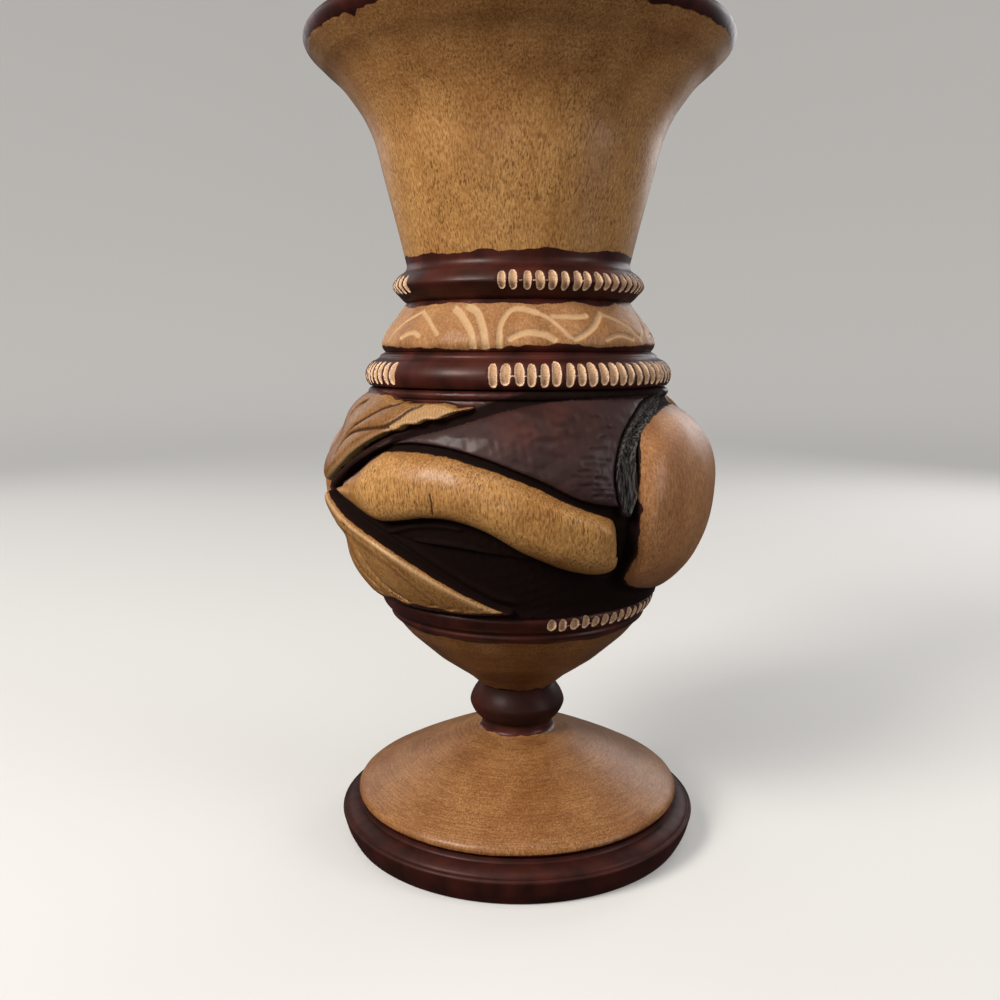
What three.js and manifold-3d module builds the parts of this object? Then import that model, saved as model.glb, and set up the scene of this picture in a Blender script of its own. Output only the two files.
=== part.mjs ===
// Carved wooden vase, built up from turned and carved members that stack on spigots.
// Millimetres, +Z up. The origin is the middle of the flat underside, so the vase stands on z = 0.
// Angles are in degrees round the vase: 0 faces -Y and grows towards +X.

import * as THREE from 'three';
import { mergeVertices } from 'three/addons/utils/BufferGeometryUtils.js';
import Module from 'manifold-3d';

const wasm = await Module();
wasm.setup();

// Heights of the members, from the table up
const plinthHeight = 11.6;
const footHeight = 21.6;
const knopHeight = 12.0;
const bowlHeight = 22.6;
const lowerRingHeight = 8.2;
const bellyHeight = 59.7;
const shoulderRingHeight = 9.9;
const bandHeight = 13.8;
const neckRingHeight = 12.8;
const neckHeight = 51.6;
const rimHeight = 9.2;

// Radii of the outline
const plinthRadius = 54;
const plinthSoleRadius = 51;
const plinthStepRadius = 48.5;
const plinthStepHeight = 1.25;
const footEdgeRadius = 49;
const knopCollarRadius = 10.7;
const knopRadius = 14.5;
const bowlMouthRadius = 36.2;
const lowerRingRadius = 41;
const bellyRadius = 58.1;
const bellyTopRadius = 43.4;
const bellyFootRadius = 44.4;
const shoulderRingRadius = 44.7;
const bandFootRadius = 38.8;
const bandRadius = 39.8;
const bandTopRadius = 32.5;
const neckRingRadius = 36.5;
const neckFootRadius = 32.9;
const neckMouthRadius = 54.8;
const rimOverhang = 5.1;

// The hollow, and the glued joints hidden inside
const boreRadius = 22;
const mouthWall = 5.4;
const glueGap = 0.3;
const neckSpigotWall = 3;
const neckSpigotReach = 14;
const bowlTenonReach = 8;
const rimTongueHeight = 3;
const rimTongueWall = 2.4;
const dowelRadius = 6;
const dowelInFoot = 13;
const dowelInBowl = 14;
const plinthSeatRadius = 46;
const plinthFloor = 5;

// The carving on the belly
const bellyEquator = 33.5;
const groundDepth = 5;
const darkLeafDepth = 2.6;
const lensDepth = 4.6;
const limbRoll = 6.5;
const domeRoll = 9;
const leafRoll = 4;
const repeats = 2;

// The rows of chip-carved notches on the three rings
const notchWidth = 2.3;
const notchDepth = 0.9;
const neckNotches = { first: -8, last: 121, pitch: 5.6, height: 4.8, above: 4.6 };
const shoulderNotches = { first: -9, last: 131, pitch: 4.2, height: 6.2, above: 4.7 };
const lowerNotches = { first: 12, last: 100, pitch: 4.6, height: 3.7, above: 5.5 };

// How finely the members are faceted
const turnedSides = 36;
const bellySides = 104;
const bellyRows = 32;
const neckRows = 11;
const curveRows = 7;

// Levels of the stack
const footZ = plinthHeight;
const knopZ = footZ + footHeight;
const bowlZ = knopZ + knopHeight;
const lowerRingZ = bowlZ + bowlHeight;
const bellyZ = lowerRingZ + lowerRingHeight;
const shoulderRingZ = bellyZ + bellyHeight;
const bandZ = shoulderRingZ + shoulderRingHeight;
const neckRingZ = bandZ + bandHeight;
const neckZ = neckRingZ + neckRingHeight;
const rimZ = neckZ + neckHeight;
const topZ = rimZ + rimHeight;

// Radii that follow from the fits
const neckSpigotRadius = boreRadius + neckSpigotWall;
const ringBoreRadius = neckSpigotRadius + glueGap;
const bowlTenonRadius = boreRadius - glueGap;
const dowelHoleRadius = dowelRadius + glueGap;
const rimRadius = neckMouthRadius + rimOverhang;

const goldWood = { color: 0xb07a3c, roughness: 0.45 };
const darkStain = { color: 0x3a1714, roughness: 0.35 };
const paleWood = { color: 0xc79a5b, roughness: 0.55 };
const plainWood = { color: 0xb99463, roughness: 0.7 };

const vase = new THREE.Group();

function addPiece(name, geometry, finish) {
  const material = new THREE.MeshStandardMaterial({ metalness: 0, ...finish });
  const mesh = new THREE.Mesh(geometry, material);
  mesh.name = name;
  vase.add(mesh);
}

// Turned work: a closed outline of [radius, height] pairs, counted up the outside and down the
// inside, or from axis to axis where the member is solid.
function turn(outline, sides = turnedSides) {
  const points = outline.map(([radius, height]) => new THREE.Vector2(radius, height));
  const lathe = new THREE.LatheGeometry(points, sides);
  lathe.deleteAttribute('normal');
  lathe.deleteAttribute('uv');
  lathe.rotateX(Math.PI / 2);
  return mergeVertices(withoutSlivers(mergeVertices(lathe)));
}

// Drops the empty triangles that a lathe leaves where its outline meets the axis.
function withoutSlivers(geometry) {
  const corners = geometry.index.array;
  const kept = [];
  for (let i = 0; i < corners.length; i += 3) {
    const [a, b, c] = corners.slice(i, i + 3);
    if (a !== b && b !== c && c !== a) kept.push(a, b, c);
  }
  geometry.setIndex(kept);
  return geometry;
}

// A smooth line through a few points, as [radius, height] pairs.
function smoothLine(knots, rows) {
  const curve = new THREE.SplineCurve(knots.map(([x, y]) => new THREE.Vector2(x, y)));
  return curve.getPoints(rows).map((point) => [point.x, point.y]);
}

function bezierLine(start, pullStart, pullEnd, end, rows) {
  const ends = [start, pullStart, pullEnd, end].map(([x, y]) => new THREE.Vector2(x, y));
  const curve = new THREE.CubicBezierCurve(...ends);
  return curve.getPoints(rows).map((point) => [point.x, point.y]);
}

function ring(outside, innerRadius) {
  const bottom = outside[0][1];
  const top = outside[outside.length - 1][1];
  return turn([...outside, [innerRadius, top], [innerRadius, bottom], outside[0]]);
}

// Boolean cuts
function toSolid(geometry) {
  const vertProperties = new Float32Array(geometry.attributes.position.array);
  const triVerts = new Uint32Array(geometry.index.array);
  return new wasm.Manifold(new wasm.Mesh({ numProp: 3, vertProperties, triVerts }));
}

function toGeometry(solid) {
  const mesh = solid.getMesh();
  const geometry = new THREE.BufferGeometry();
  geometry.setAttribute('position', new THREE.BufferAttribute(mesh.vertProperties, 3));
  geometry.setIndex(new THREE.BufferAttribute(mesh.triVerts, 1));
  return geometry;
}

// A notch is a small scoop, wider than it is deep, cut square to the ring's face.
function notchCutter(radius, height, angle, notchHeight) {
  const scoop = new THREE.OctahedronGeometry(1, 0);
  scoop.deleteAttribute('normal');
  scoop.deleteAttribute('uv');
  scoop.scale(notchWidth / 2, notchDepth, notchHeight / 2);
  scoop.translate(0, -radius, height);
  scoop.rotateZ(THREE.MathUtils.degToRad(angle));
  return toSolid(mergeVertices(scoop));
}

function notchAngles({ first, last, pitch }) {
  const angles = [];
  for (let side = 0; side < repeats; side += 1) {
    for (let angle = first; angle <= last; angle += pitch) {
      angles.push(angle + (360 / repeats) * side);
    }
  }
  return angles;
}

function withNotches(geometry, radius, baseZ, row) {
  let solid = toSolid(geometry);
  for (const angle of notchAngles(row)) {
    solid = solid.subtract(notchCutter(radius, baseZ + row.above, angle, row.height));
  }
  return toGeometry(solid);
}

// The plinth is one disc with a moulded edge. A small upright step carries the edge of the foot,
// and the top is bored out as a seat for it.
addPiece('foot_plinth', turn([
  [0, 0],
  [plinthSoleRadius, 0],
  [plinthSoleRadius + 1.4, 2.4],
  [plinthRadius - 0.5, 5.6],
  [plinthRadius, plinthHeight - 4.1],
  [plinthRadius - 0.5, plinthHeight - 3.4],
  [plinthRadius - 1.2, plinthHeight - 3.0],
  [plinthStepRadius + 2, plinthHeight - plinthStepHeight - 0.4],
  [plinthStepRadius + 0.2, plinthHeight - plinthStepHeight],
  [plinthStepRadius, plinthHeight],
  [plinthSeatRadius, plinthHeight],
  [plinthSeatRadius, plinthFloor],
  [0, plinthFloor],
]), darkStain);

// The foot is a low dome. Its plug sits in the plinth and its thin edge laps over the recess.
const footPlugRadius = plinthSeatRadius - glueGap;
const footEdgeZ = footZ + 1.9;
const footSocketFloor = knopZ - dowelInFoot - glueGap;
addPiece('foot_dome', turn([
  [0, plinthFloor],
  [footPlugRadius, plinthFloor],
  [footPlugRadius, footZ],
  [footEdgeRadius - 1.6, footZ + 0.2],
  ...bezierLine(
    [footEdgeRadius, footEdgeZ],
    [footEdgeRadius + 1, footEdgeZ + 1.1],
    [knopCollarRadius + 1.8, knopZ + 0.6],
    [knopCollarRadius, knopZ],
    curveRows,
  ),
  [dowelHoleRadius, knopZ],
  [dowelHoleRadius, footSocketFloor],
  [0, footSocketFloor],
]), goldWood);

// The knop is a full bead over a short collar, threaded on the dowel.
const knopWaist = [[knopCollarRadius, knopZ], [knopCollarRadius + 0.2, knopZ + 0.4]];
const knopBead = smoothLine([
  [knopCollarRadius, knopZ + 0.9],
  [knopRadius - 1.6, knopZ + 3.0],
  [knopRadius, knopZ + 6.1],
  [knopRadius - 1.2, knopZ + 9.3],
], 7);
addPiece('stem_knop', ring(
  [...knopWaist, ...knopBead, [knopCollarRadius + 0.8, bowlZ]],
  dowelHoleRadius,
), darkStain);

// The dowel ties the foot, the knop and the bowl together.
const dowelTop = bowlZ + dowelInBowl;
addPiece('stem_dowel', turn([
  [0, knopZ - dowelInFoot],
  [dowelRadius, knopZ - dowelInFoot],
  [dowelRadius, dowelTop],
  [0, dowelTop],
], 20), plainWood);

// The bowl is a solid funnel. Its tenon passes up through the lower ring into the belly.
const bowlTenonTop = bellyZ + bowlTenonReach;
addPiece('lower_bowl', turn([
  [0, dowelTop + glueGap],
  [dowelHoleRadius, dowelTop + glueGap],
  [dowelHoleRadius, bowlZ],
  ...bezierLine(
    [knopCollarRadius + 0.3, bowlZ],
    [knopCollarRadius + 6.3, bowlZ + 5.7],
    [bowlMouthRadius - 4.7, lowerRingZ - 8.4],
    [bowlMouthRadius, lowerRingZ],
    curveRows,
  ),
  [bowlTenonRadius, lowerRingZ],
  [bowlTenonRadius, bowlTenonTop],
  [0, bowlTenonTop],
]), goldWood);

// The lower ring: a thin fillet, a notched bead and a cove under the belly.
addPiece('lower_notched_ring', withNotches(ring([
  [bowlMouthRadius + 0.7, lowerRingZ],
  [bowlMouthRadius + 2.2, lowerRingZ + 2.2],
  [lowerRingRadius - 2.2, lowerRingZ + 3.2],
  [lowerRingRadius - 0.5, lowerRingZ + 5],
  [lowerRingRadius, lowerRingZ + 6.6],
  [lowerRingRadius - 0.9, bellyZ],
], boreRadius), lowerRingRadius - 0.1, lowerRingZ, lowerNotches), darkStain);

// The belly's turned surface before carving: half an ellipse below the equator and half above.
function turnedBellyRadius(height) {
  const below = height < bellyEquator;
  const endRadius = below ? bellyFootRadius : bellyTopRadius;
  const reach = below ? bellyEquator : bellyHeight - bellyEquator;
  const share = (height - bellyEquator) / reach;
  const squareness = 1 - (endRadius / bellyRadius) ** 2;
  return bellyRadius * Math.sqrt(1 - squareness * share ** 2);
}

// Carved forms, as closed lines through [angle, height above the belly's foot]. Each one stands
// above the sunken ground by its own amount, and rolls down to it over its own width.
const limb = {
  top: 0,
  roll: limbRoll,
  edge: [
    [-66, 32.2], [-54, 37.2], [-42, 44], [-33, 45.2], [-21, 44.4], [-10, 42], [5, 36.6],
    [16, 31.6], [25, 28.2], [28, 22], [28.8, 15], [23, 12.2], [14, 13.8], [0, 19.6], [-9, 24.4],
    [-20, 27.4], [-30, 26.8], [-42, 25.6], [-54, 29.4],
  ],
};
const dome = {
  top: 0,
  roll: domeRoll,
  edge: [
    [31.6, 41], [30, 33.5], [32, 26], [33.6, 18], [31.8, 10.6], [43, 6.2], [56, 4.2], [68, 4],
    [80, 7], [90, 15], [96, 27], [93, 43], [84, 51.5], [70, 55.8], [55, 55.6], [43, 52.6], [35.6, 48.8],
  ],
};
const upperLeaf = {
  top: 0,
  roll: leafRoll,
  edge: [
    [-74, 34], [-61, 38.4], [-50, 45], [-38, 49.4], [-25, 52.4], [-15, 55.8], [-24, 56.6],
    [-40, 56.8], [-55, 58.5], [-72, 59], [-82, 54], [-84, 44],
  ],
};
const lowerLeaf = {
  top: 0,
  roll: leafRoll,
  edge: [
    [-72, 31], [-61, 27.2], [-48, 23.2], [-36, 18.2], [-25, 12.4], [-14, 6.8], [-3, 2.8],
    [-18, 0.9], [-36, 0.6], [-58, 0.6], [-74, 1.4], [-82, 8], [-84, 20],
  ],
};
const darkLeaf = {
  top: -darkLeafDepth,
  roll: leafRoll,
  edge: [
    [-46, 44.9], [-33, 48.8], [-18, 52.3], [-4, 55.6], [12, 57.8], [34, 58.4], [50, 58],
    [36, 53], [26.4, 45], [24, 37], [26, 30.6], [16, 32], [0, 39], [-18, 44.6], [-33, 46],
  ],
};
const lens = {
  top: -lensDepth,
  roll: limbRoll,
  edge: [[-46, 22.8], [-32, 26.6], [-20, 26.8], [-10, 23.8], [3, 17.2], [-10, 18.6], [-24, 20], [-36, 21]],
};
const carvedForms = [limb, dome, upperLeaf, lowerLeaf, darkLeaf, lens];

// Angle becomes arc length at the belly's greatest radius, so that edges are true sizes.
const arcPerDegree = THREE.MathUtils.degToRad(bellyRadius);
for (const form of carvedForms) {
  const corners = form.edge.map(([angle, height]) => (
    new THREE.Vector3(angle * arcPerDegree, height, 0)
  ));
  const line = new THREE.CatmullRomCurve3(corners, true, 'centripetal');
  form.line = line.getPoints(4 * corners.length);
}

// Distance from a point to a form's edge, positive inside it.
function insideBy(line, x, y) {
  let nearest = Infinity;
  let inside = false;
  for (let i = 1; i < line.length; i += 1) {
    const [a, b] = [line[i - 1], line[i]];
    const [runX, runY] = [b.x - a.x, b.y - a.y];
    const along = ((x - a.x) * runX + (y - a.y) * runY) / (runX ** 2 + runY ** 2);
    const share = THREE.MathUtils.clamp(along, 0, 1);
    nearest = Math.min(nearest, Math.hypot(x - a.x - share * runX, y - a.y - share * runY));
    if ((a.y > y) !== (b.y > y) && x < a.x + ((y - a.y) / runY) * runX) inside = !inside;
  }
  return inside ? nearest : -nearest;
}

// How far the carver went below the turned surface at one place.
function carvedDepth(angle, height) {
  let surface = -groundDepth;
  for (const form of carvedForms) {
    for (let side = -repeats; side <= repeats; side += 1) {
      const turned = angle - (360 / repeats) * side;
      const distance = insideBy(form.line, turned * arcPerDegree, height);
      if (distance > 0) {
        const rise = Math.sin((Math.min(distance / form.roll, 1) * Math.PI) / 2);
        surface = Math.max(surface, -groundDepth + (groundDepth + form.top) * rise);
      }
    }
  }
  return -surface;
}

// The belly block: carved outside, bored from end to end, with a wider socket for the spigot.
const socketFloor = shoulderRingZ - neckSpigotReach - glueGap;
const bellyWall = [];
for (let row = 0; row <= bellyRows; row += 1) {
  const height = (bellyHeight * row) / bellyRows;
  bellyWall.push([turnedBellyRadius(height), bellyZ + height]);
}
const bellyBlock = turn([
  ...bellyWall,
  [ringBoreRadius, shoulderRingZ],
  [ringBoreRadius, socketFloor],
  [boreRadius, socketFloor],
  [boreRadius, bellyZ],
  bellyWall[0],
], bellySides);
const bellyPoints = bellyBlock.attributes.position;
for (let i = 0; i < bellyPoints.count; i += 1) {
  const [x, y, z] = [bellyPoints.getX(i), bellyPoints.getY(i), bellyPoints.getZ(i)];
  const radius = Math.hypot(x, y);
  if (radius > ringBoreRadius + 1) {
    const angle = THREE.MathUtils.radToDeg(Math.atan2(x, -y));
    const share = (radius - carvedDepth(angle, z - bellyZ)) / radius;
    bellyPoints.setXY(i, x * share, y * share);
  }
}
addPiece('carved_belly', bellyBlock, goldWood);

// The shoulder ring: a deep notched bead with a small collar on top.
addPiece('shoulder_notched_ring', withNotches(ring([
  [shoulderRingRadius - 4.4, shoulderRingZ],
  [shoulderRingRadius - 1, shoulderRingZ + 0.8],
  [shoulderRingRadius, shoulderRingZ + 3.3],
  [shoulderRingRadius - 0.4, shoulderRingZ + 5],
  [shoulderRingRadius - 1.4, shoulderRingZ + 6.7],
  [shoulderRingRadius - 3.9, shoulderRingZ + 8.4],
  [bandFootRadius - 0.2, bandZ],
], ringBoreRadius), shoulderRingRadius - 0.1, shoulderRingZ, shoulderNotches), darkStain);

// The carved band leans in as it rises.
addPiece('carved_band', ring([
  [bandFootRadius, bandZ],
  [bandRadius, bandZ + 2.4],
  [bandRadius - 0.8, bandZ + 4.6],
  [bandRadius - 2.2, bandZ + 7],
  [bandRadius - 4.8, bandZ + 10.2],
  [bandTopRadius, neckRingZ],
], ringBoreRadius), paleWood);

// The neck ring: a notched bead, and above it a stained collar that meets the neck.
addPiece('neck_notched_ring', withNotches(ring([
  [bandTopRadius, neckRingZ],
  [neckRingRadius - 1.8, neckRingZ + 2.1],
  [neckRingRadius, neckRingZ + 4.5],
  [neckRingRadius - 0.9, neckRingZ + 6.4],
  [neckRingRadius - 3.6, neckRingZ + 8.8],
  [neckFootRadius - 0.9, neckRingZ + 10.6],
  [neckFootRadius - 0.1, neckZ],
], ringBoreRadius), neckRingRadius - 0.1, neckRingZ, neckNotches), darkStain);

// The neck flares slowly and then fast. Knots are shares of its rise and of its widening.
const flare = [
  [0, 0], [0.15, 0.085], [0.31, 0.182], [0.46, 0.272], [0.62, 0.368], [0.75, 0.505],
  [0.87, 0.7], [0.94, 0.84], [1, 1],
];
const neckOutside = smoothLine(flare.map(([rise, widening]) => [
  neckFootRadius + widening * (neckMouthRadius - neckFootRadius),
  neckZ + rise * neckHeight,
]), neckRows);
const mouthInnerRadius = neckMouthRadius - mouthWall;
const neckInside = smoothLine(flare.map(([rise, widening]) => [
  boreRadius + widening * (mouthInnerRadius - boreRadius),
  neckZ + rise * neckHeight,
]), neckRows).reverse();
const tongueRadius = mouthInnerRadius + rimTongueWall;
const spigotBottom = shoulderRingZ - neckSpigotReach;
addPiece('flared_neck', turn([
  [boreRadius, spigotBottom],
  [neckSpigotRadius, spigotBottom],
  [neckSpigotRadius, neckZ],
  ...neckOutside,
  [tongueRadius, rimZ],
  [tongueRadius, rimZ + rimTongueHeight],
  [mouthInnerRadius, rimZ + rimTongueHeight],
  ...neckInside,
  [boreRadius, spigotBottom],
]), goldWood);

// The rim ring is rebated underneath, so that it drops over the tongue on the neck.
const rebateRadius = tongueRadius + glueGap;
const rebateTop = rimZ + rimTongueHeight + glueGap;
addPiece('rim_ring', turn([
  [rebateRadius, rimZ],
  [neckMouthRadius, rimZ],
  [rimRadius - 2.7, rimZ + 2.3],
  [rimRadius - 0.9, rimZ + 4.1],
  [rimRadius, rimZ + 6],
  [rimRadius - 0.3, topZ - 1.6],
  [rimRadius - 1.4, topZ - 0.4],
  [rimRadius - 2.9, topZ],
  [rimRadius - 4.7, topZ - 0.3],
  [rimRadius - 6.9, topZ - 1.4],
  [rimRadius - 8.7, topZ - 3.3],
  [mouthInnerRadius, rebateTop],
  [rebateRadius, rebateTop],
  [rebateRadius, rimZ],
]), darkStain);

export default vase;
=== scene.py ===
# %% [markdown]
# # A carved wooden vase
# The real vase is light brown wood, turned round and then carved by hand. A dark red-brown stain fills
# the carved ground, the rings, the knop and the plinth, and the raised wood is left golden.
# The frame already holds every piece at its real size. This lesson gives each one its fine surface.

# %% Load the frame
import math
import bmesh
import bpy
import numpy as np
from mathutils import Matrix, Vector


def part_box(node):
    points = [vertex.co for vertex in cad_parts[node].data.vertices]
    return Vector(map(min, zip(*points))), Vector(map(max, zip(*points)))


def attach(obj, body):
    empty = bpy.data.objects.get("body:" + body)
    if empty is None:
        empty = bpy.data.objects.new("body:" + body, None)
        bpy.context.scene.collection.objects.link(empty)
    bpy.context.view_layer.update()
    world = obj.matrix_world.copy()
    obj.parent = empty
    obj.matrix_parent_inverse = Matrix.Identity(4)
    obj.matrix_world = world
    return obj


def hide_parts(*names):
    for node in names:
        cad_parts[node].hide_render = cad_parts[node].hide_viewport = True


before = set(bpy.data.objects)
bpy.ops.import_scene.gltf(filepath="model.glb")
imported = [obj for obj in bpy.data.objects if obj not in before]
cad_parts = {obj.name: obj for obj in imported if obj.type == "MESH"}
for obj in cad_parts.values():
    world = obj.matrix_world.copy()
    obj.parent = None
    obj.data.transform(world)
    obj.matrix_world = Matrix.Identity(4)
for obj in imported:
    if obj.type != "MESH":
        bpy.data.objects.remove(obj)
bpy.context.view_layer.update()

mm = 0.001

# %% [markdown]
# ## The camera
# The photograph was taken from close by, a little above the belly and tilted down. A camera in the same
# place gives the same perspective, so the rings curve in the picture as they do in the photograph.

# %% Place the camera
eye = (-5.3 * mm, -299.3 * mm, 146.6 * mm)
tilt_down = math.radians(8.59)

camera_data = bpy.data.cameras.new("photo_camera")
camera_data.sensor_width = 36
camera_data.lens = 36.15
camera_data.clip_start = 0.01
camera = bpy.data.objects.new("photo_camera", camera_data)
camera.location = eye
camera.rotation_euler = (math.pi / 2 - tilt_down, 0, 0)
bpy.context.scene.collection.objects.link(camera)
bpy.context.scene.camera = camera
print(f"camera {-eye[1]:.2f} m in front of the axis")

# %% [markdown]
# ## Lines that a turner would draw
# A turned piece is known by its outline. Each outline here is a few strokes: two points make a straight
# cut and more make a smooth curve, and where strokes meet there is a crisp corner. The curve goes
# through every point, so the numbers are radii and heights that could be checked with callipers.

# %% Draw smooth lines
def smooth_line(points, closed=False, per_span=10):
    """A curve through the points that doesn't overshoot where they are unevenly spaced."""
    knots = np.array(points, float)
    if closed:
        knots = np.vstack([knots[-1:], knots, knots[:2]])
    else:
        knots = np.vstack([2 * knots[0] - knots[1], knots, 2 * knots[-1] - knots[-2]])
    gaps = np.sqrt(np.linalg.norm(np.diff(knots, axis=0), axis=1))
    times = np.concatenate([[0], np.cumsum(gaps)])
    slopes = (knots[2:] - knots[:-2]) / (times[2:] - times[:-2])[:, None]
    share = (np.arange(per_span) / per_span)[:, None]
    line = []
    for i in range(len(slopes) - 1):
        start, end, reach = knots[i + 1], knots[i + 2], gaps[i + 1]
        line.append(
            start * (2 * share**3 - 3 * share**2 + 1)
            + end * (3 * share**2 - 2 * share**3)
            + slopes[i] * reach * (share**3 - 2 * share**2 + share)
            + slopes[i + 1] * reach * (share**3 - share**2)
        )
    if not closed:
        line.append(knots[-2:-1])
    return np.vstack(line)


def even_steps(line, spacing):
    """The same line with its points about that far apart."""
    along = np.concatenate([[0], np.cumsum(np.linalg.norm(np.diff(line, axis=0), axis=1))])
    places = np.linspace(0, along[-1], max(1, math.ceil(along[-1] / spacing)) + 1)
    return np.column_stack([np.interp(places, along, column) for column in line.T])


def outline(spacing, *strokes):
    """Strokes of (radius, height). Each starts where the one before it ended, with a corner there."""
    parts = []
    start = []
    for stroke in strokes:
        knots = start + stroke
        line = smooth_line(knots) if len(knots) > 2 else np.array(knots, float)
        parts.append(even_steps(line, spacing)[:-1])
        start = knots[-1:]
    return np.vstack([*parts, np.array(start, float)])


def above(level, points):
    """The same points with their heights counted from a level."""
    return [(radius, level + rise) for radius, rise in points]


print("a test stroke has", len(outline(0.5, [(10, 0), (12, 4), (11, 9)])), "points")

# %% [markdown]
# ## From outline to solid
# Carrying the outline round the axis makes the solid. Every row of points can be pushed in by a carving
# rule before the faces are made, so the same tool makes the plain knop and the carved belly. Where a
# piece is solid to the middle, the points on the axis are welded into one.

# %% Turn an outline round the axis
axis_radius = 1e-6


def revolve(wall, hidden, columns, carve=None):
    """Points in mm and four-sided faces. The wall is counted upwards and the hidden rows follow it."""
    rows = np.vstack([wall, hidden]) if len(hidden) else wall
    angle = np.arange(columns) * (360 / columns) - 180
    radius = np.repeat(rows[:, :1], columns, axis=1)
    height = np.repeat(rows[:, 1:], columns, axis=1)
    if carve:
        turned = np.broadcast_to(angle, (len(wall), columns))
        radius[: len(wall)] = carve(turned, height[: len(wall)], radius[: len(wall)])
    round_way = np.radians(angle)
    points = np.stack([radius * np.sin(round_way), -radius * np.cos(round_way), height], axis=-1)
    ids = np.arange(len(rows) * columns).reshape(len(rows), columns)
    over = np.roll(ids, -1, axis=0)
    quads = np.stack([ids, np.roll(ids, -1, axis=1), np.roll(over, -1, axis=1), over], axis=-1)
    if rows[0, 0] < axis_radius:
        quads = quads[:-1]
    return points.reshape(-1, 3), quads.reshape(-1, 4)


def weld_axis(mesh):
    """Joins the points that lie on the axis, so that the middle closes with plain triangles."""
    shape = bmesh.new()
    shape.from_mesh(mesh)
    middle = [v for v in shape.verts if math.hypot(v.co.x, v.co.y) < axis_radius]
    if middle:
        bmesh.ops.remove_doubles(shape, verts=middle, dist=axis_radius)
        shape.to_mesh(mesh)
    shape.free()


def bore(radius, wall):
    """The hidden rows of a plain hole, from the top of an outline down to its foot."""
    return np.array([(radius, wall[-1, 1]), (radius, wall[0, 1])])


print("turning tools ready")

# %% [markdown]
# ## Pieces that stand for the frame's pieces
# A fine piece takes the place of one piece of the frame, rides on the same body, and names the finish
# slot that it is made in. Where carving crowds points together on plain ground, collapsing the flattest
# edges keeps the detail and drops the points that change nothing. A turned piece has an arris wherever
# its outline turns sharply, and on a carved one only the steepest cuts are shaded as edges.

# %% Make a named piece
plain_columns = 288
turned_crease = 38
carved_crease = 70


def turn_piece(name, stands_for, wall, hidden, columns=plain_columns, carve=None, keep_share=1.0):
    points, quads = revolve(wall, hidden, columns, carve)
    mesh = bpy.data.meshes.new(name)
    mesh.from_pydata((points * mm).tolist(), [], quads.tolist())
    weld_axis(mesh)
    piece = bpy.data.objects.new(name, mesh)
    bpy.context.scene.collection.objects.link(piece)
    if keep_share < 1:
        thinner = piece.modifiers.new("collapse flat edges", "DECIMATE")
        thinner.ratio = keep_share
        with bpy.context.temp_override(object=piece):
            bpy.ops.object.modifier_apply(modifier=thinner.name)
    piece.data.shade_smooth()
    piece.data.set_sharp_from_angle(angle=math.radians(carved_crease if carve else turned_crease))
    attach(piece, "root")
    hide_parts(stands_for)
    print(f"{name}: {len(piece.data.polygons)} faces")
    return piece


def places(piece):
    """Angle in degrees, height in mm and radius in mm of every point of a piece."""
    flat = np.zeros(len(piece.data.vertices) * 3, np.float32)
    piece.data.vertices.foreach_get("co", flat)
    x, y, z = (flat.reshape(-1, 3) / mm).T.astype(float)
    return np.degrees(np.arctan2(x, -y)), z, np.hypot(x, y)


# %% [markdown]
# ## Numbers that the finish reads
# The finish has to know where the stain ends and where a tool has cut. Each piece carries such numbers
# on its points: bare is the distance in mm into unstained wood and cut the distance into a notch, both
# negative outside, and the others go from 0 to 1. A number that isn't written counts as 0.

# %% Write numbers on a piece
far_off = -4.0


def mark(piece, finish, bare=far_off, cut=far_off, **others):
    """Gives a piece its finish and writes the numbers that the finish reads at every point."""
    piece.data.materials.append(finish)
    count = len(piece.data.vertices)
    for name, value in {"bare": bare, "cut": cut, **others}.items():
        numbers = np.broadcast_to(np.asarray(value, np.float32), (count,)).copy()
        piece.data.attributes.new(name, "FLOAT", "POINT").data.foreach_set("value", numbers)


print("pieces can be turned, measured and marked")

# %% [markdown]
# ## The unevenness of handwork
# Nothing on the vase is perfectly true. A few soft waves in different directions, added together, give
# a surface and an edge that wander like hand-guided tools. The seeds are fixed, so every run is alike.

# %% Let a hand wander
wave_count = 9


def wander(x, y, z, size, seed):
    """Smooth unevenness of about -1 to 1 whose bumps are about that size."""
    chance = np.random.default_rng(seed)
    total = np.zeros(np.broadcast(x, y, z).shape)
    for _ in range(wave_count):
        way = chance.normal(size=3)
        way *= chance.uniform(0.7, 1.5) * 2 * math.pi / size / np.linalg.norm(way)
        total += np.sin(way[0] * x + way[1] * y + way[2] * z + chance.uniform(0, 2 * math.pi))
    return total / math.sqrt(wave_count)


def round_line(angle, size, seed):
    """The same wandering along a line that runs round the vase, for angles in degrees."""
    ring_radius = 38
    across = np.radians(angle)
    return wander(ring_radius * np.sin(across), ring_radius * np.cos(across), 0 * across, size, seed)


print("wander at the origin:", round(float(wander(0.0, 0.0, 0.0, 5, 1)), 3))

# %% [markdown]
# ## Nodes for the finishes
# A finish is a chain of nodes. These short helpers add a node, feed its inputs and give back its output,
# so that each finish below reads like the recipe that a finisher would write down.

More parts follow.
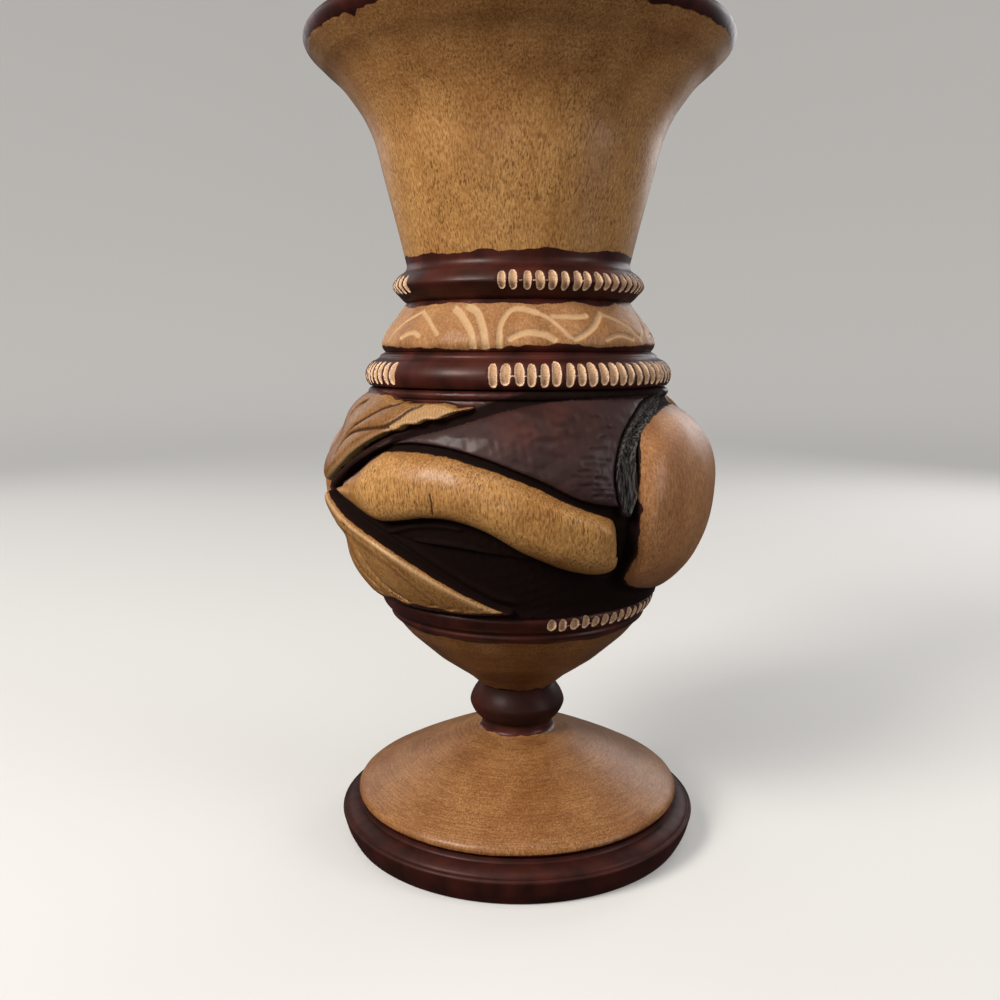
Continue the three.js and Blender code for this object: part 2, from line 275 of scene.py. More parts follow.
# %% Write finish recipes
class Recipe:
    """One material, and the nodes that are added to it."""

    def __init__(self, name):
        self.material = bpy.data.materials.new(name)
        self.material.use_nodes = True
        self.tree = self.material.node_tree
        self.shader = self.tree.nodes["Principled BSDF"]

    def feed(self, socket, value):
        if isinstance(value, bpy.types.NodeSocket):
            self.tree.links.new(value, socket)
        else:
            socket.default_value = value

    def node(self, kind, inputs, output=0, **settings):
        made = self.tree.nodes.new("ShaderNode" + kind)
        for key, value in settings.items():
            setattr(made, key, value)
        for key, value in inputs.items():
            self.feed(made.inputs[key], value)
        return made.outputs[output]

    def give(self, name, value):
        """Sets one input of the shader itself, to a number, a colour or the end of a chain."""
        self.feed(self.shader.inputs[name], value)

    def times(self, a, b):
        return self.node("Math", {0: a, 1: b}, operation="MULTIPLY")

    def plus(self, a, b):
        return self.node("Math", {0: a, 1: b}, operation="ADD")

    def minus(self, a, b):
        return self.node("Math", {0: a, 1: b}, operation="SUBTRACT")

    def most(self, a, b):
        return self.node("Math", {0: a, 1: b}, operation="MAXIMUM")

    def between(self, value, low, high, to_low=0.0, to_high=1.0):
        steps = {"Value": value, "From Min": low, "From Max": high}
        return self.node("MapRange", {**steps, "To Min": to_low, "To Max": to_high})

    def blend(self, share, first, second, way="MIX"):
        inputs = {0: share, 6: first, 7: second}
        return self.node("Mix", inputs, output=2, data_type="RGBA", blend_type=way)

    def shade(self, share, colour, tint):
        """The colour multiplied by a tint, as far as the share says."""
        return self.blend(share, colour, self.blend(1.0, colour, tint, "MULTIPLY"))

    def stretch(self, place, x, y, z):
        return self.node("VectorMath", {0: place, 1: (x, y, z)}, operation="MULTIPLY")

    def cloud(self, place, scale, detail=2.0, rise=1.0):
        """Soft noise. A rise below 1 draws it out along the height."""
        if rise != 1.0:
            place = self.stretch(place, 1, 1, rise)
        return self.node("TexNoise", {"Vector": place, "Scale": scale, "Detail": detail})

    def dots(self, place, scale, rise):
        """Distance to scattered points, drawn out along the height."""
        return self.node("TexVoronoi", {"Vector": self.stretch(place, 1, 1, rise), "Scale": scale})

    def number(self, name):
        return self.node("Attribute", {}, output="Fac", attribute_name=name)

    def place_in_mm(self):
        where = self.node("TexCoord", {}, output="Object")
        return self.stretch(where, 1 / mm, 1 / mm, 1 / mm)


print("recipe helpers ready")

# %% [markdown]
# ## The wood
# The wood has short dark pores that run up the log. On an upright face they show as fine vertical lines
# and where the carving turns across the log they show as dots. Stretching the pattern along the height,
# in three dimensions, gives both at once without any wrapping. Broad clouds make the slow changes of
# tone, and a satin varnish lies over it all.

# %% The bare wood's recipe
grain_tint = (0.70, 0.62, 0.52, 1)
figure_tint = (0.74, 0.66, 0.58, 1)


def open_pores(recipe, place):
    """1 in the short pores, the few long ones and the streaks, less where the wood is well filled."""
    short = recipe.between(recipe.dots(place, 1.45, 0.24), 0.30, 0.17)
    long = recipe.between(recipe.dots(place, 0.62, 0.08), 0.15, 0.08)
    streaks = recipe.between(recipe.cloud(place, 2.1, 1.0, rise=0.2), 0.55, 0.68)
    pores = recipe.most(recipe.most(short, long), streaks)
    patches = recipe.between(recipe.cloud(place, 0.12), 0.35, 0.62, 0.45, 1.0)
    filled = recipe.between(recipe.number("smooth"), 0, 1, 1.0, 0.38)
    return recipe.times(recipe.times(pores, patches), filled)


def wood_layers(recipe, place, tones):
    """Colour and pore depth of varnished wood. Tones are dark, middle and light."""
    dark, middle, light = tones
    fibre = recipe.between(recipe.cloud(place, 1.9, 3.0, rise=0.22), 0.36, 0.64)
    colour = recipe.blend(fibre, middle, light)
    grain = recipe.between(recipe.cloud(place, 2.3, 1.0, rise=0.6), 0.36, 0.64)
    colour = recipe.shade(recipe.times(grain, 0.7), colour, grain_tint)
    figure = recipe.between(recipe.cloud(place, 0.09, 3.0, rise=0.35), 0.38, 0.68)
    colour = recipe.shade(figure, colour, figure_tint)
    pores = open_pores(recipe, place)
    return recipe.blend(recipe.times(pores, 0.85), colour, dark), pores


def turning_marks(recipe, place):
    """Fine lines that run round the vase, as sanding on the lathe leaves them."""
    level = recipe.stretch(place, 1, 1, 0)
    radius = recipe.node("VectorMath", {0: level}, output="Value", operation="LENGTH")
    height = recipe.node("SeparateXYZ", {0: place}, output="Z")
    drift = recipe.times(recipe.cloud(place, 0.06, 1.0), 6.5)
    round_way = recipe.node("CombineXYZ", {0: radius, 1: height, 2: drift})
    return recipe.between(recipe.cloud(round_way, 2.0, 3.0), 0.38, 0.66)


golden_tones = ((0.105, 0.042, 0.010, 1), (0.36, 0.176, 0.052, 1), (0.50, 0.275, 0.098, 1))
pale_tones = ((0.22, 0.10, 0.032, 1), (0.38, 0.195, 0.070, 1), (0.50, 0.285, 0.115, 1))
print("three tones a wood: dark pores, middle, light")

# %% [markdown]
# ## The stain
# The stain is nearly black where it pools and dark red where it is thin, and it dries with a gloss.
# It was brushed on by hand, so its edge is ragged. Each piece carries a number called bare, the
# distance in mm into unstained wood, and a little noise on that number tears the edge.
# A second number called cut says where a gouge has opened fresh pale wood through the stain.

# %% Colour the stain, the wiped wood and the painted shade and sheen
pooled_stain = (0.021, 0.0052, 0.0036, 1)
thin_stain = (0.054, 0.0104, 0.0070, 1)
painted_plum_sheen = (0.029, 0.0165, 0.0160, 1)
# Near black, for pooled stain and painted shade in the channels, grooves and hollows.
deepest_stain = (0.0040, 0.0012, 0.0008, 1)
black_soot = (0.0060, 0.0052, 0.0048, 1)
grey_soot = (0.098, 0.091, 0.085, 1)
ring_tint = (0.66, 0.56, 0.48, 1)
rosy_sheen_tint = (0.92, 0.84, 1.10, 1)
wiped_and_shade_tint = (0.50, 0.43, 0.37, 1)
pale_and_highlight_wood = (0.56, 0.385, 0.21, 1)


def stain_layers(recipe, place):
    """Thin or pooled stain, painted shade, a painted plum sheen on the broad dark leaf, and the dry
    soot in the scraped strip beside the dome.
    """
    thin = recipe.between(recipe.cloud(place, 0.13, 4.0, rise=0.5), 0.40, 0.68)
    stain = recipe.blend(thin, pooled_stain, thin_stain)
    # A painted plum sheen: the grey-purple reflection of the room on the broad dark leaf.
    stain = recipe.blend(recipe.times(recipe.number("plum_sheen"), 0.85), stain, painted_plum_sheen)
    # Pooled stain and painted shade blacken the stain where the ground is low and in the grooves.
    stain = recipe.blend(recipe.number("deep"), stain, deepest_stain)
    worn = recipe.between(recipe.cloud(place, 1.9, 2.0, rise=0.14), 0.42, 0.74)
    soot = recipe.blend(worn, black_soot, grey_soot)
    return recipe.blend(recipe.number("dry"), stain, soot)


def handled_wood(recipe, place, wood):
    """Wood with the turner's fine rings, a rosy tint that is partly painted sheen, stain wiped into it
    with some painted shade, and pale edges that are partly rubbed and partly painted highlight.
    """
    rings = recipe.times(turning_marks(recipe, place), recipe.number("turned"))
    wood = recipe.shade(rings, wood, ring_tint)
    # A rosy tint where the wood is smooth, partly painted sheen.
    wood = recipe.shade(recipe.number("smooth"), wood, rosy_sheen_tint)
    # Wiped stain darkens the wood; on the upper leaf, the foot and the funnel this is also painted shade.
    wood = recipe.shade(recipe.number("soiled"), wood, wiped_and_shade_tint)
    # Pale wood: rubbed edges and cut strokes, and on the leaves' lips and facet also painted highlight.
    lighter = recipe.blend(0.62, wood, pale_and_highlight_wood)
    return recipe.blend(recipe.number("pale"), wood, lighter)


print("stain and soil ready")

# %% [markdown]
# ## Edges and cuts
# The edge of the stain is torn twice, by a slow noise and by a fine one. Inside a notch the freshly cut
# wood is cream at its edge, browner at its heart and speckled. A vein is a thin dark line on the wood.

# %% Tear the stain's edge and open the cuts
notch_cream = (0.72, 0.50, 0.33, 1)
notch_heart = (0.46, 0.28, 0.16, 1)
notch_speck = (0.24, 0.12, 0.06, 1)
vein_dark = (0.030, 0.012, 0.007, 1)
edge_blur = 0.08


def stain_edge(recipe, place):
    """1 on bare wood and 0 on stain, and the fine noise that the cuts share."""
    torn = recipe.minus(recipe.cloud(place, 0.30, 1.0), 0.5)
    frayed = recipe.minus(recipe.cloud(place, 1.6, 2.0), 0.5)
    tear = recipe.plus(recipe.times(torn, 0.9), recipe.times(frayed, 0.3))
    return recipe.between(recipe.plus(recipe.number("bare"), tear), -edge_blur, edge_blur), frayed


def open_cuts(recipe, place, colour, frayed):
    """The colour with notches and veins cut into it, and 1 where a notch is."""
    fresh = recipe.plus(recipe.number("cut"), recipe.times(frayed, 0.3))
    fresh = recipe.between(fresh, -0.02, 0.1)
    heart = recipe.between(recipe.number("cut"), 0.15, 0.6)
    cream = recipe.blend(heart, notch_cream, notch_heart)
    specks = recipe.between(recipe.cloud(place, 3.4, 1.0), 0.50, 0.64, 0.0, 0.75)
    cream = recipe.blend(specks, cream, notch_speck)
    vein = recipe.plus(recipe.number("line"), recipe.times(frayed, 0.25))
    vein = recipe.between(vein, 0.60, 0.80, 0.0, 0.88)
    return recipe.blend(vein, recipe.blend(fresh, colour, cream), vein_dark), fresh


print("cuts ready")

# %% [markdown]
# ## Gloss and touch
# Bare wood and thin stain are varnished, and nothing in the grooves, the notches or the soot is. The
# stain has a weak warm reflection, so that a groove seen at a low angle stays dark. Under the gloss a
# shallow bump carries the brush's strokes, the pores, the stain's thickness and the leaf's orange peel.

# %% Set the gloss and the touch
stain_rough, deep_rough, wood_rough, fresh_rough = 0.44, 0.95, 0.50, 0.78
coat_on_stain = 0.60
bump_depth = 0.06 * mm


def set_gloss(recipe, place, bare, fresh, coat):
    dull = recipe.most(recipe.number("dry"), recipe.number("deep"))
    rough = recipe.between(dull, 0.0, 1.0, stain_rough, deep_rough)
    rough = recipe.plus(rough, recipe.times(recipe.number("plum_sheen"), 0.14))
    rough = recipe.node("Mix", {0: bare, 2: rough, 3: wood_rough})
    rough = recipe.node("Mix", {0: fresh, 2: rough, 3: fresh_rough})
    polish = recipe.between(recipe.cloud(place, 0.35, 3.0), 0.3, 0.7, -0.06, 0.06)
    recipe.give("Roughness", recipe.plus(rough, polish))
    varnish = recipe.between(recipe.most(dull, fresh), 0, 1, coat, 0.0)
    recipe.give("Coat Weight", recipe.times(varnish, recipe.between(bare, 0, 1, coat_on_stain, 1.0)))
    recipe.give("Coat Roughness", 0.32)
    recipe.give("Specular IOR Level", 0.15)
    recipe.give("Specular Tint", (1, 0.72, 0.62, 1))


def set_touch(recipe, place, bare, pores, pleats):
    height = recipe.times(recipe.cloud(place, 0.9, 3.0), 0.5)
    height = recipe.minus(height, recipe.times(pores, bare))
    height = recipe.plus(height, recipe.times(bare, -0.5))
    height = recipe.minus(height, recipe.times(pleats, 2.0))
    orange_peel = recipe.times(recipe.cloud(place, 1.5, 2.0), recipe.number("plum_sheen"))
    height = recipe.plus(height, recipe.times(orange_peel, 2.2))
    recipe.give("Normal", recipe.node("Bump", {"Height": height, "Strength": 0.5, "Distance": bump_depth}))


print("gloss ready")

# %% [markdown]
# ## The finish of the whole vase
# One recipe finishes every piece. It lays the wood first, then the stain with its ragged edge, then the
# fresh cuts, and last the gloss. The pieces differ only in the wood's tones and in how much varnish
# they got, and in the numbers on their points.

# %% Mix the finishes
pleat_shadow = (0.26, 0.13, 0.045, 1)


def vase_finish(name, tones, coat):
    recipe = Recipe(name)
    place = recipe.place_in_mm()
    wood, pores = wood_layers(recipe, place, tones)
    wood = handled_wood(recipe, place, wood)
    waves = {"Vector": place, "Scale": 0.40, "Distortion": 3.2, "Detail": 2.0, "Detail Scale": 1.4}
    pleats = recipe.times(recipe.node("TexWave", waves, output="Fac"), recipe.number("pleat"))
    wood = recipe.blend(recipe.times(pleats, 0.6), wood, pleat_shadow)
    bare, frayed = stain_edge(recipe, place)
    colour = recipe.blend(bare, stain_layers(recipe, place), wood)
    colour, fresh = open_cuts(recipe, place, colour, frayed)
    recipe.give("Base Color", colour)
    set_gloss(recipe, place, bare, fresh, coat)
    set_touch(recipe, place, bare, pores, pleats)
    return recipe.material


golden_finish = vase_finish("golden_wood", golden_tones, 0.30)
stained_finish = vase_finish("dark_stained_wood", golden_tones, 0.20)
carved_finish = vase_finish("carved_wood", golden_tones, 0.27)
pale_finish = vase_finish("pale_wood", pale_tones, 0.10)
print("four finishes from one recipe, and a fifth below for the dowel")

# %% [markdown]
# ## The hidden dowel
# The dowel inside the stem never shows on the finished vase. It is raw wood without stain or varnish,
# and its plain shape in the frame is right, so it only needs the wood's recipe.

# %% Finish the dowel
plain = Recipe("plain_wood")
plain_tones = ((0.30, 0.17, 0.08, 1), (0.52, 0.36, 0.20, 1), (0.62, 0.45, 0.27, 1))
plain_colour, plain_pores = wood_layers(plain, plain.place_in_mm(), plain_tones)
plain.give("Base Color", plain_colour)
plain.give("Roughness", plain.between(plain_pores, 0, 1, 0.72, 0.85))
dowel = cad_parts["stem_dowel"]
dowel.data.materials.clear()
dowel.data.materials.append(plain.material)
print("dowel keeps the frame's shape")

# %% [markdown]
# ## Levels of the stack
# Every fine piece starts and ends where its piece of the frame does, and neighbours share a level, so
# the fine pieces close up without gaps. Stems of flowers stand in a bore that runs down to the funnel.
# The neck's sleeve fills a wider bore in the pieces round it, with a little room for glue.

# %% Read the levels from the frame
def span(node):
    """Lowest and highest point and greatest radius of a piece of the frame, in mm."""
    low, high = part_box(node)
    return low.z / mm, high.z / mm, high.x / mm


plinth_low, plinth_top, plinth_radius = span("foot_plinth")
knop_low, knop_top, knop_radius = span("stem_knop")
lower_ring_low, lower_ring_top, lower_ring_radius = span("lower_notched_ring")
belly_low, belly_top, _ = span("carved_belly")
shoulder_low, shoulder_top, shoulder_radius = span("shoulder_notched_ring")
band_low, band_top, band_radius = span("carved_band")
neck_ring_low, neck_ring_top, neck_ring_radius = span("neck_notched_ring")
rim_low, rim_top, rim_radius = span("rim_ring")
spigot_low = span("flared_neck")[0]
foot_low = span("foot_dome")[0]
tenon_top = span("lower_bowl")[1]
bore_radius = 22
sleeve_radius = 25.3
dowel_hole = 6.3
glue_room = 0.3
print(f"belly from {belly_low:.1f} to {belly_top:.1f} mm, rim top at {rim_top:.1f} mm")

# %% [markdown]
# ## The plinth
# The dark base is a separate moulded disc. A small upright step carries the edge of the foot, a sloping
# band runs out from it, and below a fine arris, which catches the light as a thin line, the edge
# rolls down to the table. The top is bored out as a seat for the foot.

# %% Turn the plinth
sole_radius = 51
seat_radius = 46
plinth_wall = outline(
    0.45,
    [(0, plinth_low), (sole_radius - 0.5, plinth_low)],
    [(sole_radius + 0.15, plinth_low + 0.3), (sole_radius + 0.6, 1.0)],
    [(52.8, 3.4), (53.5, 5.6), (plinth_radius, 7.5)],
    [(53.85, 7.9), (53.45, 8.2)],
    [(52.9, 8.2), (52.7, 8.6)],
    [(51.9, 9.3), (50.6, 9.95), (49.3, 10.3), (48.7, 10.35)],
    [(48.4, 10.8), (48.3, plinth_top)],
    [(seat_radius, plinth_top)],
)
plinth_seat = np.array([(seat_radius, foot_low), (0, foot_low)])
plinth = turn_piece("plinth_disc", "foot_plinth", plinth_wall, plinth_seat)
# The plinth is darkened a little with painted shade, which also dulls its gloss.
mark(plinth, stained_finish, deep=0.3)

# %% [markdown]
# ## The foot
# The golden foot is a low dome that rises to the stem like a shallow tent. Its rim is a thin rounded
# edge that overhangs the plinth. The stain of the knop runs a little way down onto it with a wavy edge.

# %% Turn the foot
plug_radius = seat_radius - glue_room
foot_wall = outline(
    0.7,
    [(0, foot_low), (plug_radius, foot_low)],
    [(plug_radius, plinth_top)],
    [(47.4, 11.75), (48.5, 12.2), (49, 13.2)],
    [(48.95, 13.75), (48.5, 14.5), (46.9, 15.75), (44.5, 17.1), (39.3, 19.9), (31.8, 23.6), (24, 27.2),
     (17.2, 29.8), (13.4, 30.6), (11.8, 30.9), (11.1, 31.3), (10.85, 32.0), (10.8, knop_low)],
)
socket_bottom = 19.9
foot_socket = np.array([(dowel_hole, knop_low), (dowel_hole, socket_bottom), (0, socket_bottom)])
foot = turn_piece("foot_top", "foot_dome", foot_wall, foot_socket)
angle, height, radius = places(foot)
stem_stain = 11.3 + 0.12 * round_line(angle, 14, 3)
rim_stain = height - 12.9 - 0.2 * round_line(angle, 30, 4)
bare = np.minimum(radius - stem_stain, 2 * rim_stain)
# The foot's darker wiped tint is partly painted shade from the belly above.
mark(foot, golden_finish, bare=bare, turned=0.75, soiled=0.42, smooth=0.55)

# %% [markdown]
# ## The knop
# The knop is a full bead over a short collar, and the funnel sits straight on top of it. It is small
# and dark, so its outline matters more than its surface: the bead is almost a lozenge with soft
# corners, and it pinches in above the collar.

# %% Turn the knop
knop_wall = outline(
    0.35,
    above(knop_low, [(10.8, 0), (10.75, 0.5), (10.9, 1.0)]),
    above(knop_low, [(11.9, 1.6), (13.2, 3.0), (14.1, 4.7), (knop_radius, 6.1), (14.1, 7.6), (13.3, 9.3),
                     (12.2, 10.9)]) + [(11.2, knop_top)],
)
knop_bore = bore(dowel_hole, knop_wall)
knop = turn_piece("knop_bead", "stem_knop", knop_wall, knop_bore, plain_columns // 2)
# The knop is darkened with painted shade, which also dulls its gloss.
mark(knop, stained_finish, deep=0.45)

# %% [markdown]
# ## The funnel
# Above the knop the body opens like a funnel. It is solid, and a tenon on top of it passes up through
# the lower ring into the belly. The stain of the ring and of the knop both end on it in ragged lines.

# %% Turn the funnel
funnel_mouth = 36.9
tenon_radius = bore_radius - glue_room
funnel_wall = outline(
    0.7,
    [(11.2, knop_top), (12.8, 46.6), (15.7, 49.1), (18.7, 51.2), (21.5, 53.2), (24.3, 55.2),
     (26.6, 57.2), (28.8, 59.2), (31.1, 61.3), (33.4, 63.5), (funnel_mouth, lower_ring_low)],
    [(tenon_radius, lower_ring_low)],
    [(tenon_radius, tenon_top)],
    [(0, tenon_top)],
)
dowel_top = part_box("stem_dowel")[1].z / mm + glue_room
funnel_socket = np.array([(0, dowel_top), (dowel_hole, dowel_top), (dowel_hole, knop_top)])
funnel_rows = np.vstack([funnel_socket, funnel_wall])
funnel = turn_piece("funnel_bowl", "lower_bowl", funnel_rows, [])
angle, height, radius = places(funnel)
ring_stain = lower_ring_low - 0.5 + 0.5 * round_line(angle, 17, 5) - height
knop_stain = height - knop_top - 0.7 - 0.4 * round_line(angle, 13, 6)
bare = np.minimum(ring_stain, knop_stain)
# The funnel's strong wiped tint is partly painted shade under the belly.
mark(funnel, golden_finish, bare=bare, turned=0.6, soiled=0.85, smooth=0.4)

# %% [markdown]
# ## Chip-carved notches
# The three rings carry rows of small notches, cut through the stain so that pale wood shows. Each is a
# short slot with round ends, scooped deepest in the middle. No two are quite alike: they lean more
# towards the right of the row, and their size and spacing drift a little, as they do under a hand.

# %% Cut a row of notches
def notch_row(first, last, pitch, level, width, tall, lean, seed):
    """Every notch of a row as (angle, level, width, height of the slot, lean), in mm. The angle is in
    degrees and the lean in radians. A few slips of the tool lie between them as fine scratches."""
    chance = np.random.default_rng(seed)
    notches = []
    for start in (0, 180):
        for angle in np.arange(first, last + 0.01, pitch):
            share = (angle - first) / (last - first)
            notches.append((
                (angle + start + chance.normal(0, 0.05 * pitch) + 180) % 360 - 180,
                level + chance.normal(0, 0.12),
                width * chance.uniform(0.88, 1.08),
                tall * chance.uniform(0.90, 1.05),
                math.radians(lean * share + chance.normal(0, 2.5)),
            ))
        slips = first + pitch * (0.5 + np.array([1, 2, 3, 6]))
        notches += [(angle + start, level - 0.2, 1.9, 0.36, 0.0) for angle in slips]
    return notches


def inside_notches(notches, angle, height, radius):
    """How far each point lies inside the nearest notch, in mm, and negative outside all of them."""
    best = np.full(angle.shape, far_off)
    for centre, level, width, tall, lean in notches:
        off = (angle - centre + 180) % 360 - 180
        near = np.abs(off) < 9
        across = np.radians(off[near]) * radius[near]
        up = height[near] - level
        across, up = (
            across * math.cos(lean) + up * math.sin(lean),
            up * math.cos(lean) - across * math.sin(lean),
        )
        corner = 0.42 * width
        waist = 1 - 0.28 * np.minimum(2 * np.abs(up) / tall, 1) ** 2
        past_side = np.abs(across) / waist - (width / 2 - corner)
        past_end = np.abs(up) - (tall / 2 - corner)
        outside = np.hypot(np.maximum(past_side, 0), np.maximum(past_end, 0))
        inner = np.minimum(np.maximum(past_side, past_end), 0)
        best[near] = np.maximum(best[near], corner - outside - inner)
    return best


def notched_ring(name, stands_for, wall, hole, notches, depth, columns, keep_share, stain_top=None):
    """Turns a ring, cuts its notches, and marks them and the line where its stain ends."""
    def cut_in(angle, height, radius):
        share = np.clip(inside_notches(notches, angle, height, radius) / 0.95, 0, 1)
        return radius - depth * (1 - (1 - share) ** 2)

    ring = turn_piece(name, stands_for, wall, bore(hole, wall), columns, cut_in, keep_share)
    angle, height, radius = places(ring)
    outer = radius > sleeve_radius + 2
    cut = np.where(outer, inside_notches(notches, angle, height, radius), far_off)
    bare = height - stain_top(angle) if stain_top else far_off
    mark(ring, stained_finish, bare=bare, cut=cut)


print("notch tools ready")

# %% [markdown]
# ## The lower ring
# Under the belly sits a small bead, then the notched bead with short arched notches, and a dark cove.

# %% Turn and notch the lower ring
lower_wall = outline(
    0.32,
    above(lower_ring_low, [(funnel_mouth, 0), (37.7, 0.5), (38.2, 1.3), (38.0, 2.3)]),
    above(lower_ring_low, [(38.5, 2.9), (39.6, 3.7), (40.5, 5.0), (lower_ring_radius, 6.6), (40.7, 7.5)])
    + [(40.1, lower_ring_top)],
)
lower_notches = notch_row(12, 100, 4.6, lower_ring_low + 5.5, 2.5, 3.7, 4, 21)
notched_ring(
    "lower_ring_beads", "lower_notched_ring", lower_wall, bore_radius, lower_notches, 0.8, 840, 0.6
)

# %% [markdown]
# ## The shoulder ring
# The deepest of the three beads sits on top of the belly. Its notches are tall and narrow.

# %% Turn and notch the shoulder ring
shoulder_wall = outline(
    0.32,
    above(shoulder_low, [(40.3, 0), (43.5, 0.5)]),
    above(shoulder_low, [(44.3, 1.6), (shoulder_radius, 3.2), (44.5, 4.7), (43.7, 6.2), (42.6, 7.3)]),
    above(shoulder_low, [(41.4, 7.8), (40.5, 8.4)]),
    above(shoulder_low, [(40.2, 9.1), (39.4, 9.5)]) + [(38.8, shoulder_top)],
)
shoulder_notches = notch_row(-9, 131, 4.2, shoulder_low + 4.2, 2.65, 6.2, 7, 22)
notched_ring(
    "shoulder_ring_beads", "shoulder_notched_ring", shoulder_wall, sleeve_radius, shoulder_notches,
    0.85, 900, 0.55,
)

# %% [markdown]
# ## The neck ring
# The upper ring is a sharp bead that is undercut below its crest. Above it a stained collar meets the
# neck, and the stain ends there in a wavy brushed line that wanders over the joint.

# %% Turn and notch the neck ring
neck_foot_radius = 32.8
neck_ring_wall = outline(
    0.32,
    above(neck_ring_low, [(32.5, 0), (33.6, 0.9), (34.7, 2.1)]),
    above(neck_ring_low, [(35.7, 3.1), (neck_ring_radius, 4.4), (36.2, 5.6), (35.5, 6.7), (34.4, 7.8),
                          (33.2, 8.6)]),
    above(neck_ring_low, [(32.6, 9.3), (32.3, 10.4), (32.5, 11.6)]) + [(neck_foot_radius, neck_ring_top)],
)
neck_notches = notch_row(-8, 121, 5.35, neck_ring_low + 4.7, 2.45, 5.0, 12, 23)


def collar_edge(angle):
    """Height at which the collar's stain ends, round the vase."""
    return neck_ring_top - 0.2 + 0.55 * round_line(angle, 20, 7) + 0.15 * round_line(angle, 5, 8)


notched_ring(
    "neck_ring_beads", "neck_notched_ring", neck_ring_wall, sleeve_radius, neck_notches,
    0.85, 760, 0.6, collar_edge,
)

# %% [markdown]
# ## The flared neck
# The golden trumpet rises almost straight and then opens fast. The same curve, drawn from the bore to
# the mouth, shapes its inside, and a plain sleeve below it passes down through the rings.

# %% Turn the neck
neck_mouth = 54.8
mouth_wall = 5.4
flare = [(0, 0), (0.15, 0.085), (0.31, 0.182), (0.46, 0.272), (0.62, 0.368), (0.75, 0.505),
         (0.87, 0.70), (0.94, 0.84), (1, 1)]
neck_tall = rim_low - neck_ring_top


def trumpet(foot_radius, mouth_radius):
    widening = mouth_radius - foot_radius
    return [(foot_radius + wide * widening, neck_ring_top + rise * neck_tall) for rise, wide in flare]


mouth_inside = neck_mouth - mouth_wall
tongue_radius = mouth_inside + 2.4
tongue_top = rim_low + 3
neck_wall = outline(
    0.9,
    trumpet(neck_foot_radius, neck_mouth),
    [(tongue_radius, rim_low)],
    [(tongue_radius, tongue_top)],
    [(mouth_inside, tongue_top)],
    [(mouth_inside, rim_low)],
    trumpet(bore_radius, mouth_inside)[-2::-1],
)
spigot_radius = sleeve_radius - glue_room
sleeve = np.array([(bore_radius, spigot_low), (spigot_radius, spigot_low), (spigot_radius, neck_ring_top)])
neck = turn_piece("neck_trumpet", "flared_neck", neck_wall, sleeve)
angle, height, radius = places(neck)


def lip_edge(angle):
    """Height at which the rim's stain starts, with small runs down the neck."""
    runs = np.maximum(0, round_line(angle, 7, 10)) ** 3
    return rim_low + 3.7 + 0.25 * round_line(angle, 24, 9) - 0.3 * runs


outer = radius > sleeve_radius + 4
bare = np.minimum(height - collar_edge(angle), lip_edge(angle) - height)
flared = np.clip((height - 195) / 20, 0, 1)
bare = np.where(outer, bare, -far_off)
mark(neck, golden_finish, bare=bare, turned=0.4 * flared, smooth=0.3 * flared)

# %% [markdown]
# ## The rim
# A thick rounded lip closes the mouth. It is stained dark down to a brushed line low on its outside,
# and the bare wood under that line has the neck's own finish, so the joint between them doesn't show.

# %% Turn the rim
rim_wall = outline(
    0.45,
    [(neck_mouth, rim_low), (57.2, rim_low + 2.3), (59.0, rim_low + 4.1), (rim_radius, rim_low + 6.0),
     (59.6, rim_low + 7.6), (58.5, rim_low + 8.8), (57.0, rim_top), (55.2, rim_low + 8.9),
     (53.0, rim_low + 7.8), (51.2, rim_low + 5.9), (mouth_inside, rim_low + 3.3)],
)
rebate = tongue_radius + glue_room
rim_seat = np.array([(rebate, tongue_top + glue_room), (rebate, rim_low)])
rim = turn_piece("rim_lip", "rim_ring", rim_wall, rim_seat)
angle, height, radius = places(rim)
bare = np.where(radius > neck_mouth - 3, lip_edge(angle) - height, far_off)
mark(rim, golden_finish, bare=bare, turned=0.4, smooth=0.3)

# %% [markdown]
# ## Measuring carved shapes
# A carver draws each form on the turned wood as a closed line and then cuts away what is outside it.
# The same drawing works here: angle round the vase and height up it. How far a point lies inside a line
# decides how high the wood stands there, and where the stain ends.

# %% Measure distances to drawn lines
belly_radius = 58.1
arc_per_degree = math.radians(belly_radius)


def on_wood(points):
    """Turns (angle, height) pairs into mm along the wood, so that widths are true sizes."""
    return [(angle * arc_per_degree, height) for angle, height in points]


def distance_inside(line, across, up, closed=True):
    """How far each point lies inside a closed line, or minus its distance from an open one, in mm."""
    nearest = np.full(across.shape, 1e9)
    inside = np.zeros(across.shape, bool)
    ends = np.roll(line, -1, axis=0) if closed else line[1:]
    for (ax, ay), (bx, by) in zip(line, ends):
        run_x, run_y = bx - ax, by - ay
        share = ((across - ax) * run_x + (up - ay) * run_y) / (run_x**2 + run_y**2 + 1e-12)
        share = np.clip(share, 0, 1)
        nearest = np.minimum(nearest, np.hypot(across - ax - share * run_x, up - ay - share * run_y))
        if closed and abs(run_y) > 1e-9:
            inside ^= ((ay > up) != (by > up)) & (across < ax + (up - ay) * run_x / run_y)
    return np.where(inside, nearest, -nearest)


line_reach = 6.0


def round_the_vase(line, angle, up, closed=True):
    """The same measure for a line that is drawn on both faces of the vase, half a turn apart."""
    best = np.full(angle.shape, -line_reach)
    low, high = line.min(axis=0) - line_reach, line.max(axis=0) + line_reach
    for turn in (-180, 0, 180):
        across = (angle - turn) * arc_per_degree
        near = (across > low[0]) & (across < high[0]) & (up > low[1]) & (up < high[1])
        found = distance_inside(line, across[near], up[near], closed)
        best[near] = np.maximum(best[near], found)
    return best


print(f"1 degree is {arc_per_degree:.2f} mm of wood at the belly")

